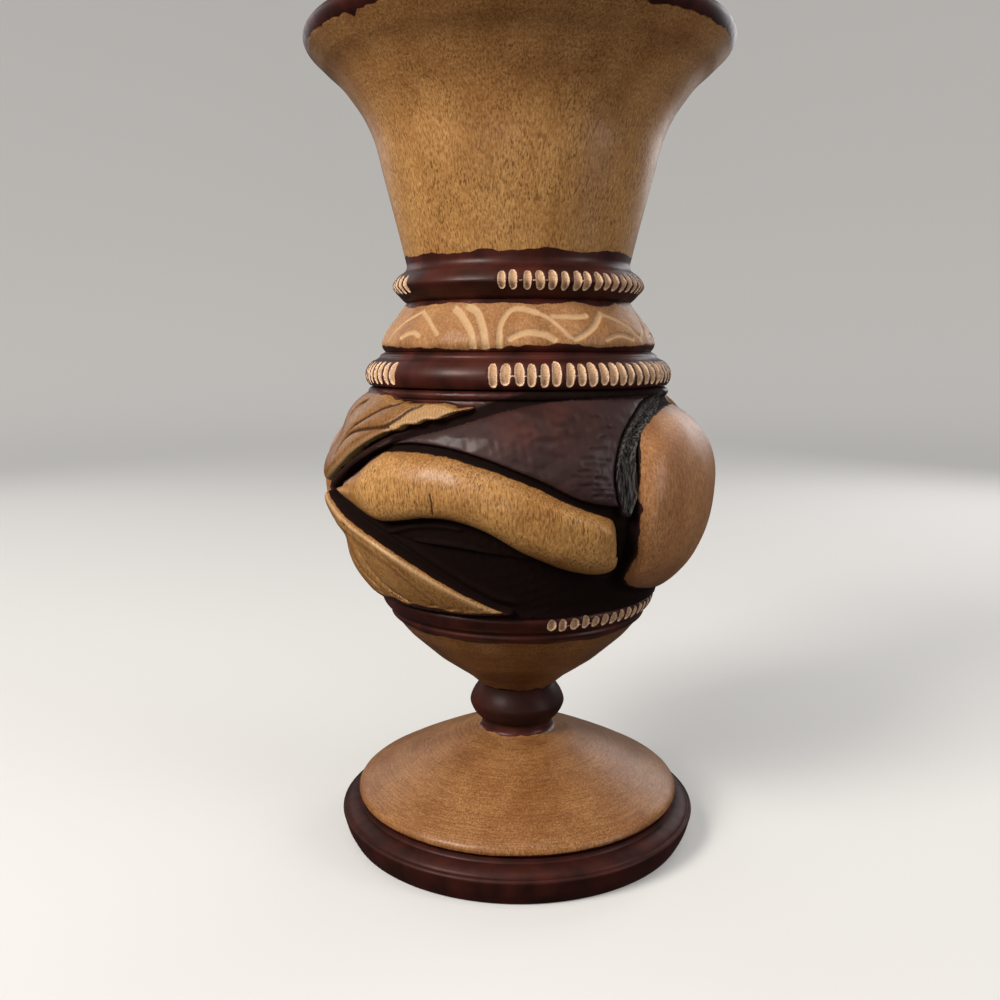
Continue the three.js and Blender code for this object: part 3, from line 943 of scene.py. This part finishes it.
# %% [markdown]
# ## The turned block
# The turned surface of the belly is half an ellipse below its widest line and half above. The carver
# keeps it on the raised forms and sinks the ground by about 5 mm between them. Each form rolls down to
# the ground with a steep side and a rounded shoulder.

# %% Shape the belly's surface
equator = 33.5
belly_foot_radius = 44.4
belly_top_radius = 43.4
belly_tall = belly_top - belly_low
ground_line = smooth_line([
    (0, 41.6), (2.5, 42.2), (5, 43.5), (12, 46.8), (20, 50.2), (28, 52.4), (36, 52.9), (44, 51.3),
    (50, 48.3), (54, 45.2), (56.2, 43.6), (57.2, 43.1),
])
collar_line = smooth_line([(57.2, 43.1), (57.7, 43.7), (58.5, 43.9), (59.2, 43.6), (59.7, 42.8)])
ground_line = np.vstack([ground_line, collar_line[1:]])


def turned_radius(up):
    below = up < equator
    end_radius = np.where(below, belly_foot_radius, belly_top_radius)
    reach = np.where(below, equator, belly_tall - equator)
    share = np.clip((up - equator) / reach, -1, 1)
    return belly_radius * np.sqrt(1 - (1 - (end_radius / belly_radius) ** 2) * share**2)


def bell(distance, width):
    return np.exp(-((distance / width) ** 2))


def soft_step(value, low, high):
    share = np.clip((value - low) / (high - low), 0, 1)
    return share**2 * (3 - 2 * share)


def rolled(inside, roll, fullness=2.2):
    """0 at the edge of a form and 1 where it is in by its roll, steep first and then rounding over."""
    share = np.clip(inside / roll, 0, 1)
    return (1 - (1 - share) ** fullness) ** (1 / fullness) * soft_step(inside, 0, 0.9)


print(f"turned radius {float(turned_radius(np.array(equator))):.1f} mm at the widest line")

# %% [markdown]
# ## The block on the bench
# The main figure is a long rounded limb that crosses the belly and ends beside a large smooth dome. Two
# veined leaves lie above and below the limb's thin end, a broad dark leaf fills the space above it, and
# a narrow dark leaf lies sunk below it. The belly is carved form by form, and the block keeps what the
# forms share: where every point is, how high the wood stands there, and how much of it may be cut away.

# %% Set up the block
class Block:
    """The belly's points, and the radius of the wood that is left at each of them, in mm."""

    def __init__(self, angle, height):
        self.angle = angle
        self.up = height - belly_low
        self.half_turned = (angle + 90) % 180 - 90
        envelope = turned_radius(self.up)
        self.ground = np.interp(self.up, ground_line[:, 0], ground_line[:, 1])
        self.room = np.maximum(envelope - self.ground, 0)
        x, y = envelope * np.sin(np.radians(angle)), envelope * np.cos(np.radians(angle))
        self.hand = wander(x, y, height, 9, 31)
        self.fine_hand = wander(x, y, height, 2.6, 32)
        self.dents = wander(x, y, 1.4 * height, 6, 33)
        self.surface = self.ground + 0.05 * self.fine_hand * soft_step(self.room, 0.5, 2.5)

    def inside(self, line):
        """How far each point lies inside a closed line, in mm."""
        return round_the_vase(line, self.angle, self.up)

    def off_lines(self, *lines):
        """Distance in mm to the nearest of some open lines."""
        nearest = np.full(self.angle.shape, line_reach)
        for line in lines:
            nearest = np.minimum(nearest, -round_the_vase(line, self.angle, self.up, closed=False))
        return nearest

    def over_line(self, line):
        """How far each point stands above an open line, in mm, on either face."""
        order = np.argsort(line[:, 0])
        line_up = np.interp(self.half_turned * arc_per_degree, line[order, 0], line[order, 1])
        return np.clip(self.up - line_up, -line_reach, line_reach)

    def wood(self, share, sink):
        """Radius of a form that is a share as high as the wood, less what it is sunk by."""
        return self.ground + np.maximum(self.room - sink, 0) * share

    def leave(self, share, sink, roughness=0.0):
        """Leaves a form standing wherever it is higher than what is there already."""
        self.surface = np.maximum(self.surface, self.wood(share, sink) + roughness)


def drawn(points, closed=True):
    """A smooth line through points of (angle, mm above the belly's foot)."""
    return smooth_line(on_wood(points), closed)


def cut_lines(*lines):
    """Open lines for a V-tool."""
    return [drawn(points, closed=False) for points in lines]


def tool_marks(bow, *marks):
    """Short bowed lines, each from its middle's angle and height, its reach and its fall."""
    return cut_lines(*(
        [(angle - reach, height + fall), (angle, height + bow), (angle + reach, height - fall)]
        for angle, height, reach, fall in marks
    ))


print("block ready, widest radius", belly_radius, "mm")

# %% [markdown]
# ## The dark leaves
# The narrow leaf below the limb lies deepest, with two low crests along it. The broad leaf above the
# limb is nearly as high as the gold. Its face is a little hollow and dented, with short gouge marks at
# its right end and a few wider scoops in its middle.

# %% Carve the dark leaves
sunk_leaf = drawn([
    (-46, 22.8), (-40, 24.8), (-32, 26.6), (-20, 26.8), (-11, 24.2), (-3, 20.4), (3, 17.2), (-5, 18),
    (-14, 19.2), (-24, 20), (-36, 21),
])
sunk_crests = cut_lines(
    [(-42, 22.4), (-37.5, 23.8), (-31.6, 25.2), (-24, 26), (-17, 25.6)],
    [(-32, 20.8), (-22, 21), (-13.5, 19.9), (-4, 17)],
)
dark_leaf = drawn([
    (-46, 44.9), (-40, 46.6), (-33, 48.8), (-25.4, 50.4), (-14, 53.3), (-4.8, 55.5), (6, 57.2),
    (20, 58.3), (36, 58.5), (57, 58.4), (44.8, 55.2), (33.4, 49.9), (28, 44.1), (26.1, 38.4),
    (26.7, 33.4), (27.4, 30.4), (16, 32.4), (6.5, 36.8), (0, 39.4), (-10, 42.8), (-21, 45.2), (-33, 46),
])
gouges = tool_marks(
    0.2, (22.2, 46, 3.4, 0), (20, 43.4, 4.6, 0.5), (20, 42, 3.6, 0.2), (18.6, 38.6, 5.2, 0.6),
    (18.4, 36.8, 5.2, 0.2), (20.4, 34, 4.2, 0.2), (26, 50.6, 3.2, 0), (25.6, 48.6, 2.8, 0),
    (17.5, 40.4, 2.6, 0.1), (24.5, 53.2, 2.4, 0.3), (21.6, 35.4, 3, 0.1),
)
scoop_marks = tool_marks(
    -0.3, (8.5, 44.7, 3.2, 0.6), (1, 49.1, 1.8, 0), (2, 42.2, 3.6, 0.9), (15, 49, 2, 0.3),
    (8, 48.2, 4.6, -0.2), (13, 52.4, 3.4, -0.5),
)


def carve_sunk_leaf(block):
    crests = 0.9 * bell(block.off_lines(*sunk_crests), 0.8)
    block.leave(rolled(block.inside(sunk_leaf), 2.8), 5.2 - crests, 0.06 * block.fine_hand)


def carve_dark_leaf(block):
    block.leaf = block.inside(dark_leaf)
    off_edge = soft_step(block.leaf, 0.6, 1.4)
    block.gouge = bell(block.off_lines(*gouges), 0.45) * off_edge * (0.7 + 0.3 * block.fine_hand)
    block.scoop = bell(block.off_lines(*scoop_marks), 0.8) * off_edge
    tooled = 0.17 * block.gouge + 0.2 * block.scoop
    dented = 0.09 * block.dents + 0.045 * block.fine_hand
    crown = 0.9 * soft_step(block.leaf, 1, 9)
    block.leave(rolled(block.leaf, 2.2), 2.7 - crown + tooled + dented)


print(len(gouges), "gouge marks and", len(scoop_marks), "scoops on the dark leaf")

# %% [markdown]
# ## The scraped strip and the thin rib
# Between the dark leaf and the dome a strip is scooped out with a raised lip, and its bottom was left
# dry and sooty. A thin dark rib lies between the upper leaf and the limb, and sinks as it runs right.

# %% Carve the strip and the rib
sooty_strip = drawn([
    (66, 58.8), (55.5, 57.2), (45, 54.8), (33.6, 49.6), (28.2, 43.9), (26.3, 38.4), (27, 33.4),
    (28.4, 30), (29.9, 28.2), (31.6, 31.4), (32.4, 35), (32.4, 40), (33.4, 44.4), (37.4, 48.8), (44, 52),
    (52, 54.4),
])
(dark_rib,) = cut_lines(
    [(-67, 33.4), (-58.6, 37.9), (-54.7, 40.2), (-48.3, 43.5), (-41.6, 46.8), (-36.2, 48.8), (-28, 50.4)],
)


def carve_sooty_strip(block):
    strip = block.inside(sooty_strip)
    scooped = 1.1 * rolled(strip, 1.7, 1.6)
    lip = 0.4 * bell(strip, 0.4)
    floor = block.wood(1.0, 2.6 + scooped - lip) + 0.05 * block.fine_hand
    block.in_strip = soft_step(strip, -0.5, 0.2)
    block.surface = block.surface + (floor - block.surface) * block.in_strip


def carve_dark_rib(block):
    block.rib = block.off_lines(dark_rib)
    rib_sink = 1.6 + 3.4 * soft_step(block.half_turned, -46, -32)
    block.leave(rolled(1.8 - block.rib, 1.8), rib_sink)


print("strip and rib drawn")

# %% [markdown]
# ## The golden leaves
# V-tool lines run along both leaves as veins. The upper leaf has a pleated flap at its right end, and
# the lower one a long fold, beyond which it turns down to a stained foot with a ridge along it. Both
# leaves are hollowed towards the side of the vase.

# %% Draw the golden leaves
upper_leaf = drawn([
    (-74, 34), (-69.5, 34.5), (-61, 38.7), (-56, 41.9), (-50, 45.4), (-43.3, 48.6), (-38.6, 49.6),
    (-36, 50.8), (-32, 51.2), (-29.4, 52.3), (-25.4, 52.6), (-22.6, 53.8), (-15.6, 55.6), (-20.4, 55.6),
    (-27, 56.6), (-36, 56.4), (-43.5, 56.7), (-48.6, 57.2), (-55, 58.5), (-72, 59), (-82, 54), (-84, 44),
])
lower_leaf = drawn([
    (-73, 30.4), (-70.6, 29.3), (-62, 26.6), (-54.6, 24.2), (-44.8, 21), (-36.5, 17.4), (-26.4, 12.2),
    (-17.2, 7.4), (-7.5, 3.2), (-3, 2.0), (-12, 1.2), (-24, 0.8), (-40, 0.6), (-58, 0.6), (-74, 1.4),
    (-82, 8), (-84, 20),
])
pleated = drawn([
    (-44, 49), (-38, 49.9), (-33, 50.5), (-30, 51.5), (-27, 52.6), (-23, 53), (-20, 54.2), (-15.6, 55.6),
    (-20, 55.3), (-23, 55.9), (-27, 56.5), (-32, 56.2), (-35, 55.4), (-38, 53.7), (-40.5, 51.4),
])
upper_veins = cut_lines(
    [(-64, 56.4), (-69.6, 54.8), (-72, 51.6), (-70, 48.4), (-69.6, 45)],
    [(-42.6, 56.3), (-49.2, 54.6), (-55, 52), (-61, 48.9), (-64, 46), (-66, 42)],
    [(-42, 50.3), (-49, 49.6), (-56, 48.6), (-61, 46.9), (-65, 44.4)],
    [(-33, 56), (-36.5, 54.6), (-39.6, 52.2), (-43.4, 50.2)],
)
lower_veins = cut_lines(
    [(-58, 22.6), (-56.8, 17.5), (-54.5, 12), (-49.6, 6.2), (-43, 3.2)],
    [(-70, 22), (-68, 15), (-63, 9), (-57, 5)],
)
(lower_fold,) = cut_lines([(-58, 22.8), (-50, 20.6), (-43, 17.6), (-37, 13.6), (-30, 8), (-24, 2.9)])
print(len(upper_veins) + len(lower_veins), "veins on the golden leaves")

# %% Carve the golden leaves
def trace_leaves(block):
    """Measures what both leaves share: their edges, their veins and the hollow at the side."""
    block.top_leaf = block.inside(upper_leaf)
    block.low_leaf = block.inside(lower_leaf)
    veins = np.where(block.top_leaf > 0, block.off_lines(*upper_veins), line_reach)
    block.veins = np.where(block.low_leaf > 0, block.off_lines(*lower_veins), veins)
    block.vein_cut = 0.7 * bell(block.veins, 0.45) + 0.5 * bell(block.veins, 1.7)
    to_the_side = soft_step(-block.half_turned, 56, 76)
    block.hollow = 2.5 * to_the_side * (bell(block.up - 46.5, 6.5) + bell(block.up - 18, 7))


def carve_upper_leaf(block):
    block.pleat = block.inside(pleated)
    facet = 0.35 * soft_step(block.pleat, -0.2, 0.8)
    flange = 0.9 * (1 - np.clip(block.top_leaf / 2.6, 0, 1)) * soft_step(52 - block.up, 0, 3)
    pleat_waves = np.sin(2 * math.pi * block.half_turned / 0.95)
    ribs = 0.10 * pleat_waves * soft_step(block.pleat, -0.2, 0.3)
    sink = block.vein_cut + facet + flange + ribs + block.hollow
    block.leave(rolled(block.top_leaf + 0.5, 1.9), sink)


def carve_lower_leaf(block):
    turned_down = 1.0 * soft_step(-block.over_line(lower_fold), 0, 4)
    fold_groove = 0.35 * bell(block.off_lines(lower_fold), 0.9)
    chips = 0.25 * np.maximum(block.fine_hand, 0) * soft_step(5 - block.up, 0, 3)
    sink = block.vein_cut + turned_down + fold_groove + block.hollow + chips
    block.leave(rolled(block.low_leaf + 0.9, 2.2, 1.8), sink)
    at_mid_leaf = soft_step(block.up, 3, 6) * soft_step(31 - block.up, 0, 3)
    ridge = 0.8 * bell(block.low_leaf + 2.5, 1.1) * at_mid_leaf
    block.surface = np.maximum(block.surface, block.ground + ridge)


print("leaf rules ready")

# %% [markdown]
# ## The limb and the dome
# Both are full round forms that keep nearly all of the turned wood. The limb has a crease along its
# upper side where it grows squarer towards its cut end, and a short drying crack.

# %% Carve the limb and the dome
limb = drawn([
    (-66, 32), (-59.8, 33.7), (-50.3, 37.9), (-43.7, 42.4), (-40.5, 44), (-33, 44.5), (-21, 43.6),
    (-10, 41.2), (0, 37.8), (6.5, 35.2), (16, 30.8), (22.5, 28.6), (25.9, 27), (27.3, 22), (28.5, 16),
    (27.3, 13.6), (22.4, 13), (14, 14.6), (6.5, 17.4), (-0.4, 20.4), (-9, 25.2), (-18, 27.9),
    (-26, 28.2), (-36, 26.6), (-44, 26.2), (-55, 29.4),
])
limb_crease, crack = cut_lines(
    [(-16, 40.4), (-10, 38.9), (-2, 35.6), (6, 32.2), (14, 29), (20.5, 26.9), (24, 24.6), (25.6, 21.4),
     (26.4, 17.5)],
    [(-23.2, 34.8), (-22.9, 32.4), (-23.1, 29.6)],
)
dome = drawn([
    (33.8, 41), (32.6, 34.5), (33, 29), (34, 23), (34.6, 17), (33.2, 11.4), (35.4, 8.8), (40, 7),
    (46.6, 5.6), (56, 4.4), (68, 4.2), (80, 7.2), (90, 15), (95, 27), (92, 43), (83, 51), (70, 55.2),
    (60, 55.2), (52, 54.2), (43.8, 52), (36.7, 48.6),
])


def carve_limb(block):
    block.limb = block.inside(limb)
    block.crack = block.off_lines(crack)
    squared = soft_step(block.half_turned, -14, 2)
    above_crease = soft_step(block.over_line(limb_crease), -0.25, 0.25)
    bevel = 0.85 * np.clip(block.off_lines(limb_crease), 0, 4) * squared * above_crease
    thin_end = soft_step(-block.half_turned, 40, 46) * soft_step(block.half_turned, -66, -60)
    stepped_out = 0.9 * (thin_end * soft_step(block.up, 33, 35))
    sink = 0.10 - 0.10 * block.hand + bevel + 0.3 * bell(block.crack, 0.2)
    block.leave(rolled(block.limb + 0.8 + stepped_out, 8.5 - 2.7 * squared), sink)


def carve_dome(block):
    block.dome = block.inside(dome)
    block.leave(rolled(block.dome + 0.8, 11), 0.05 - 0.10 * block.hand)


print("limb drawn with", len(limb), "points and dome with", len(dome))

# %% [markdown]
# ## Where the colours go
# The colour always follows the cut. Wood inside the limb, the dome and the golden leaves is bare. The
# stain is near black where it pooled and where painted shade darkens it, low on the ground and under
# the edges. It has a painted plum sheen on the broad dark leaf but stays red on a patch near the top,
# and it is wiped thin over the worn golden edges. The upper leaf is darker still, from wiped stain and
# painted shade. Its pale lips are partly rubbed wood and partly painted highlight, and the dome's rosy
# tint is partly painted sheen.

# %% Measure the numbers for the finish
channel_top = np.array([
    (-90, 47), (-60, 47), (-40, 48.5), (-22, 53.3), (-16, 55.5), (-8, 57.7), (3, 60), (20, 62),
    (60, 62), (76, 57), (90, 47),
])


def bare_wood(block):
    """How far each point lies in golden wood, in mm. The dome's edge has three small steps."""
    steps = 0.9 * bell(block.up - 30.4, 0.8) - 0.5 * bell(block.up - 33.6, 1.2)
    steps = steps + 0.5 * bell(block.up - 18, 1.5)
    bare = np.maximum(block.limb, block.dome - 0.4 - steps)
    bare = np.maximum(bare, np.minimum(block.top_leaf, 58.2 - block.up))
    return np.maximum(bare, np.minimum(3 * block.low_leaf, block.up - 2.2 - 0.5 * block.hand))


def deep_stain(block, bare):
    """1 where pooled stain and painted shade darken it: in the channels, beside the rib
    and in the tool marks.
    """
    raised_share = (block.surface - block.ground) / np.maximum(block.room, 1.0)
    in_channel = soft_step(np.interp(block.half_turned, *channel_top.T) - block.up, -0.4, 0.6)
    deep = soft_step(0.75 - raised_share, 0.08, 0.42) * (block.leaf < 0.7) * in_channel
    deep = np.maximum(deep, 0.5 * block.gouge + 0.25 * block.scoop)
    deep = np.maximum(deep, 0.9 * soft_step(block.low_leaf, -1.8, -1.0) * (block.low_leaf < 0.2))
    by_rib = soft_step(1.9 - block.rib, -0.3, 0.3)
    return np.maximum(deep, 0.75 * by_rib * (bare < 0.2) * (block.leaf < 0.2))


# Pale lips and the pleated facet: partly rubbed wood, partly painted highlight where they face the light.
def pale_edges_and_highlight(block, in_facet):
    low_edge = soft_step(block.low_leaf, 0.2, 0.6) * soft_step(2.4 - block.low_leaf, 0, 1.2)
    low_edge = low_edge * soft_step(block.up, 1.5, 4)
    top_edge = soft_step(1.7 - block.top_leaf, 0, 1) * soft_step(50 - block.up, 0, 3)
    top_edge = top_edge * (block.top_leaf > 0)
    return np.maximum(0.5 * in_facet, 0.5 * np.maximum(low_edge, top_edge))


# Darker golden wood: wiped stain near the stain's edge, and on the upper leaf also painted shade.
def soiled_wood(block, bare, in_facet):
    soiled = 0.5 * soft_step(2.8 - bare, 0, 2.8)
    top_share = 0.9 + 0.3 * soft_step(50 - block.up, 0, 12)
    soiled = np.maximum(soiled, top_share * soft_step(block.top_leaf, 0, 1))
    return np.maximum(soiled, 0.32 * soft_step(block.low_leaf, 0, 1)) * (1 - 0.65 * in_facet)


def finish_numbers(block):
    bare = bare_wood(block)
    in_facet = soft_step(block.pleat, -0.1, 0.5)
    # On the red patch near the leaf's top the painted plum sheen is left off.
    red_patch = bell(block.half_turned - 6, 18) * bell(block.up - 52, 5.5)
    return {
        "bare": bare,
        "line": np.clip(1 - np.minimum(block.veins, 1.4 * block.crack) / 1.2, 0, 1),
        "dry": block.in_strip,
        "pale": pale_edges_and_highlight(block, in_facet),
        "deep": deep_stain(block, bare),
        "soiled": soiled_wood(block, bare, in_facet),
        # The dome's rosy tint is partly painted sheen, a soft reflection haze.
        "smooth": 0.9 * soft_step(block.dome, 0, 1),
        "pleat": in_facet,
        "plum_sheen": soft_step(block.leaf, 0, 1) * (1 - 0.95 * red_patch),
    }


print("colour rules ready")

# %% [markdown]
# ## The belly, cut and thinned
# The belly is turned with a point every quarter of a millimetre, carved, and thinned where it is
# smooth. The numbers for the finish are measured again on the points that are left, so the edge of
# the stain stays as exact as it was before.

# %% Make the belly
carving_order = (
    carve_sunk_leaf, carve_dark_leaf, carve_sooty_strip, carve_dark_rib,
    trace_leaves, carve_upper_leaf, carve_lower_leaf, carve_limb, carve_dome,
)


def carve_belly(angle, height):
    block = Block(angle, height)
    for carve in carving_order:
        carve(block)
    return block


belly_step = 0.24
belly_columns = 1500
belly_heights = np.linspace(0, belly_tall, 900)
belly_outline = np.column_stack([turned_radius(belly_heights), belly_heights + belly_low])
belly_wall = even_steps(belly_outline, belly_step)
socket_floor = spigot_low - glue_room
belly_bore = np.array([
    (sleeve_radius, belly_top), (sleeve_radius, socket_floor), (bore_radius, socket_floor),
    (bore_radius, belly_low),
])
belly_faces_kept = 185000
belly_faces = 2 * belly_columns * (len(belly_wall) + len(belly_bore))
belly = turn_piece(
    "belly_carving", "carved_belly", belly_wall, belly_bore, belly_columns,
    lambda angle, height, radius: carve_belly(angle, height).surface, belly_faces_kept / belly_faces,
)
angle, height, radius = places(belly)
mark(belly, carved_finish, **finish_numbers(carve_belly(angle, height)))

# %% [markdown]
# ## The carved band
# Between the two upper rings lies a band of paler wood with a simple border of arches, chevrons and
# bracket lines. The lines are shallow gouge cuts that show lighter than the rubbed surface. The stain
# of the ring below creeps over the band's foot in a wavy line.

# %% Draw the border
band_arc = math.radians(band_radius - 2)


def on_band(points):
    """Turns (angle, height over the band's foot) pairs into mm on the band."""
    return smooth_line([(angle * band_arc, height) for angle, height in points], per_span=8)


border = [(half_width, on_band(points)) for half_width, points in (
    (0.60, [(-67, 3.6), (-62, 6.3), (-57, 8.7), (-49, 10.8)]),
    (0.60, [(-49, 10.8), (-42, 8.5), (-36, 5.8), (-34, 4.8)]),
    (1.00, [(-30, 11.3), (-26, 9.7), (-22, 7.3), (-19, 4.7), (-18, 1.4)]),
    (1.05, [(-24, 12.0), (-19, 10.4), (-16, 7.8), (-14, 4.7), (-13, 1.4)]),
    (0.85, [(-8, 1.4), (-8, 3.9), (-8, 6.7), (-6, 9.6), (-3, 11.1), (1, 11.1), (7, 10.1)]),
    (0.62, [(7, 10.1), (11, 8.8), (15, 6.5), (18, 4.4), (21, 3.4)]),
    (0.85, [(21, 3.4), (25, 4.5), (31, 6.8), (37, 10.0)]),
    (0.58, [(37, 10.0), (44, 8.8), (50, 7.3), (56, 4.6), (58, 3.6)]),
    (0.85, [(58, 3.6), (63, 5.4), (68, 8.2), (73, 10.4)]),
    (0.58, [(73, 10.4), (79, 8.6), (84, 6.2), (88, 3.8)]),
    (1.00, [(93, 11.6), (97, 9.8), (100, 7.2), (101, 4.6), (101, 1.6)]),
    (0.95, [(-4, 3.5), (0, 4.7), (4, 5.0), (9, 4.5), (12.5, 3.3)]),
    (0.75, [(-55, 3.9), (-51, 4.9), (-47, 5.1), (-43.5, 4.4)]),
    (0.75, [(13, 9.2), (18, 9.2), (24, 9.1), (29, 9.4)]),
    (0.70, [(35, 3.3), (40, 4.3), (46, 4.4), (51, 3.5)]),
    (0.70, [(68, 3.6), (72, 4.7), (77, 4.7), (81, 3.8)]),
)]
stain_creep = np.array([
    (-90, 2.4), (-75, 2.0), (-42, 1.4), (-28, 1.0), (-19, 1.1), (-8, 1.4), (-4, 2.0), (7, 2.2),
    (22, 2.5), (24, 1.7), (37, 1.6), (64, 2.5), (90, 2.4),
])
print(len(border), "strokes in the border, cut on both faces")

# %% [markdown]
# The border repeats half a turn round, like the figure on the belly. Each stroke is as wide as the
# gouge that cut it, with a soft bottom.

# %% Turn and cut the band
def border_cut(angle, height):
    """How far each point lies inside the nearest stroke of the border, in mm."""
    up = height - band_low
    best = np.full(angle.shape, far_off)
    for half_width, line in border:
        for turn in (-180, 0, 180):
            across = (angle - turn) * band_arc
            near = (across > line[:, 0].min() + far_off) & (across < line[:, 0].max() - far_off)
            found = distance_inside(line, across[near], up[near], closed=False) + half_width
            best[near] = np.maximum(best[near], found)
    return best


def cut_band(angle, height, radius):
    share = np.clip(border_cut(angle, height) / 0.7, 0, 1)
    x, y = radius * np.sin(np.radians(angle)), radius * np.cos(np.radians(angle))
    return radius - 0.45 * (1 - (1 - share) ** 2) + 0.06 * wander(x, y, height, 5, 41)


band_wall = outline(
    0.32,
    above(band_low, [(38.8, 0), (39.5, 1.0), (band_radius, 2.3), (39.2, 4.4), (37.8, 6.8), (35.2, 10.1)])
    + [(32.5, band_top)],
)
band_bore = bore(sleeve_radius, band_wall)
band = turn_piece(
    "band_carving", "carved_band", band_wall, band_bore, 1000, cut_band, keep_share=0.7
)
angle, height, radius = places(band)
creep = np.interp((angle + 90) % 180 - 90, *stain_creep.T)
foot_stain = height - band_low - creep + 0.3 - 0.15 * round_line(angle, 4, 12)
top_stain = band_top - 1.3 + 0.5 * round_line(angle, 18, 13) - height
bare = np.minimum(foot_stain, top_stain)
outer = radius > sleeve_radius + 3
in_stroke = soft_step(np.where(outer, border_cut(angle, height), far_off), -0.05, 0.2)
rubbed = (0.24 + 0.18 * round_line(angle, 9, 14)) * (1 - in_stroke)
mark(band, pale_finish, bare=bare, pale=0.8 * in_stroke, smooth=0.5, soiled=rubbed)

# %% [markdown]
# ## The studio
# A pale floor curves up into a pale wall far behind, so nothing in the room competes with the vase.
# One large soft light stands high on the left in front and a second hangs overhead. Weak ones on the
# right and low in front keep the dome and the funnel from going dull, and two behind the vase give
# its edges a pale sheen.

# %% Build the studio
floor_line = even_steps(
    smooth_line([(0, 0), (0.6, 0), (1.1, 0), (1.35, 0.06), (1.5, 0.25), (1.55, 0.6), (1.55, 1.0)]), 0.05
)
points, quads = revolve(floor_line, [], 96)
floor_mesh = bpy.data.meshes.new("pale_floor")
floor_mesh.from_pydata(points.tolist(), [], quads.tolist())
weld_axis(floor_mesh)
floor_mesh.flip_normals()
floor_mesh.shade_smooth()
floor = bpy.data.objects.new("pale_floor", floor_mesh)
bpy.context.scene.collection.objects.link(floor)
floor.visible_diffuse = False
floor.visible_glossy = False
paper = Recipe("pale_paper")
paper.give("Base Color", (0.50, 0.485, 0.46, 1))
paper.give("Emission Color", (1, 0.98, 0.95, 1))
paper.give("Emission Strength", 0.20)
paper.give("Roughness", 0.8)
floor_mesh.materials.append(paper.material)
print("floor and wall:", len(floor_mesh.polygons), "faces")

# %% Hang the lights
middle = (0, 0, 120 * mm)


def soft_light(name, place, size, power, colour):
    """A soft panel that faces the middle of the vase, with its place and size in metres."""
    light = bpy.data.lights.new(name, "AREA")
    light.shape = "RECTANGLE"
    light.size, light.size_y = size
    light.energy = power
    light.color = colour
    lamp = bpy.data.objects.new(name, light)
    lamp.location = place
    aim = Vector([m - p for m, p in zip(middle, place)])
    lamp.rotation_euler = aim.to_track_quat("-Z", "Y").to_euler()
    bpy.context.scene.collection.objects.link(lamp)


soft_light("key", (-0.75, -0.65, 0.74), (0.44, 0.44), 19.0, (1, 0.965, 0.92))
soft_light("overhead", (0.05, -0.30, 1.05), (0.7, 0.5), 2.4, (1, 0.98, 0.95))
soft_light("right_fill", (0.85, -0.42, 0.32), (0.3, 0.6), 3.6, (0.98, 0.97, 1))
soft_light("low_front", (-0.30, -1.0, 0.06), (0.6, 0.10), 1.2, (1, 0.97, 0.94))
soft_light("wall_right", (0.62, 0.70, 0.45), (0.5, 0.5), 2.5, (0.98, 0.98, 1))
soft_light("wall_left", (-0.62, 0.70, 0.45), (0.5, 0.5), 1.0, (0.98, 0.98, 1))
print("six lights")

# %% [markdown]
# ## The room
# The air round the vase is pale too, and brighter from above than from below. It fills the shadows, and
# it is all that the gloss reflects between the lights. The colours are shown as they are, ungraded.

# %% Light the room
world = bpy.data.worlds.new("soft_room")
world.use_nodes = True
room = world.node_tree
way = room.nodes.new("ShaderNodeTexCoord").outputs["Generated"]
upward = room.nodes.new("ShaderNodeSeparateXYZ")
room.links.new(way, upward.inputs[0])
ceiling = room.nodes.new("ShaderNodeMapRange")
for name, value in {"From Min": -0.1, "From Max": 0.25, "To Min": 0.06, "To Max": 0.25}.items():
    ceiling.inputs[name].default_value = value
room.links.new(upward.outputs["Z"], ceiling.inputs["Value"])
room.links.new(ceiling.outputs[0], room.nodes["Background"].inputs["Strength"])
room.nodes["Background"].inputs["Color"].default_value = (0.95, 0.97, 1, 1)
bpy.context.scene.world = world
bpy.context.scene.view_settings.view_transform = "Standard"
print("pale room")
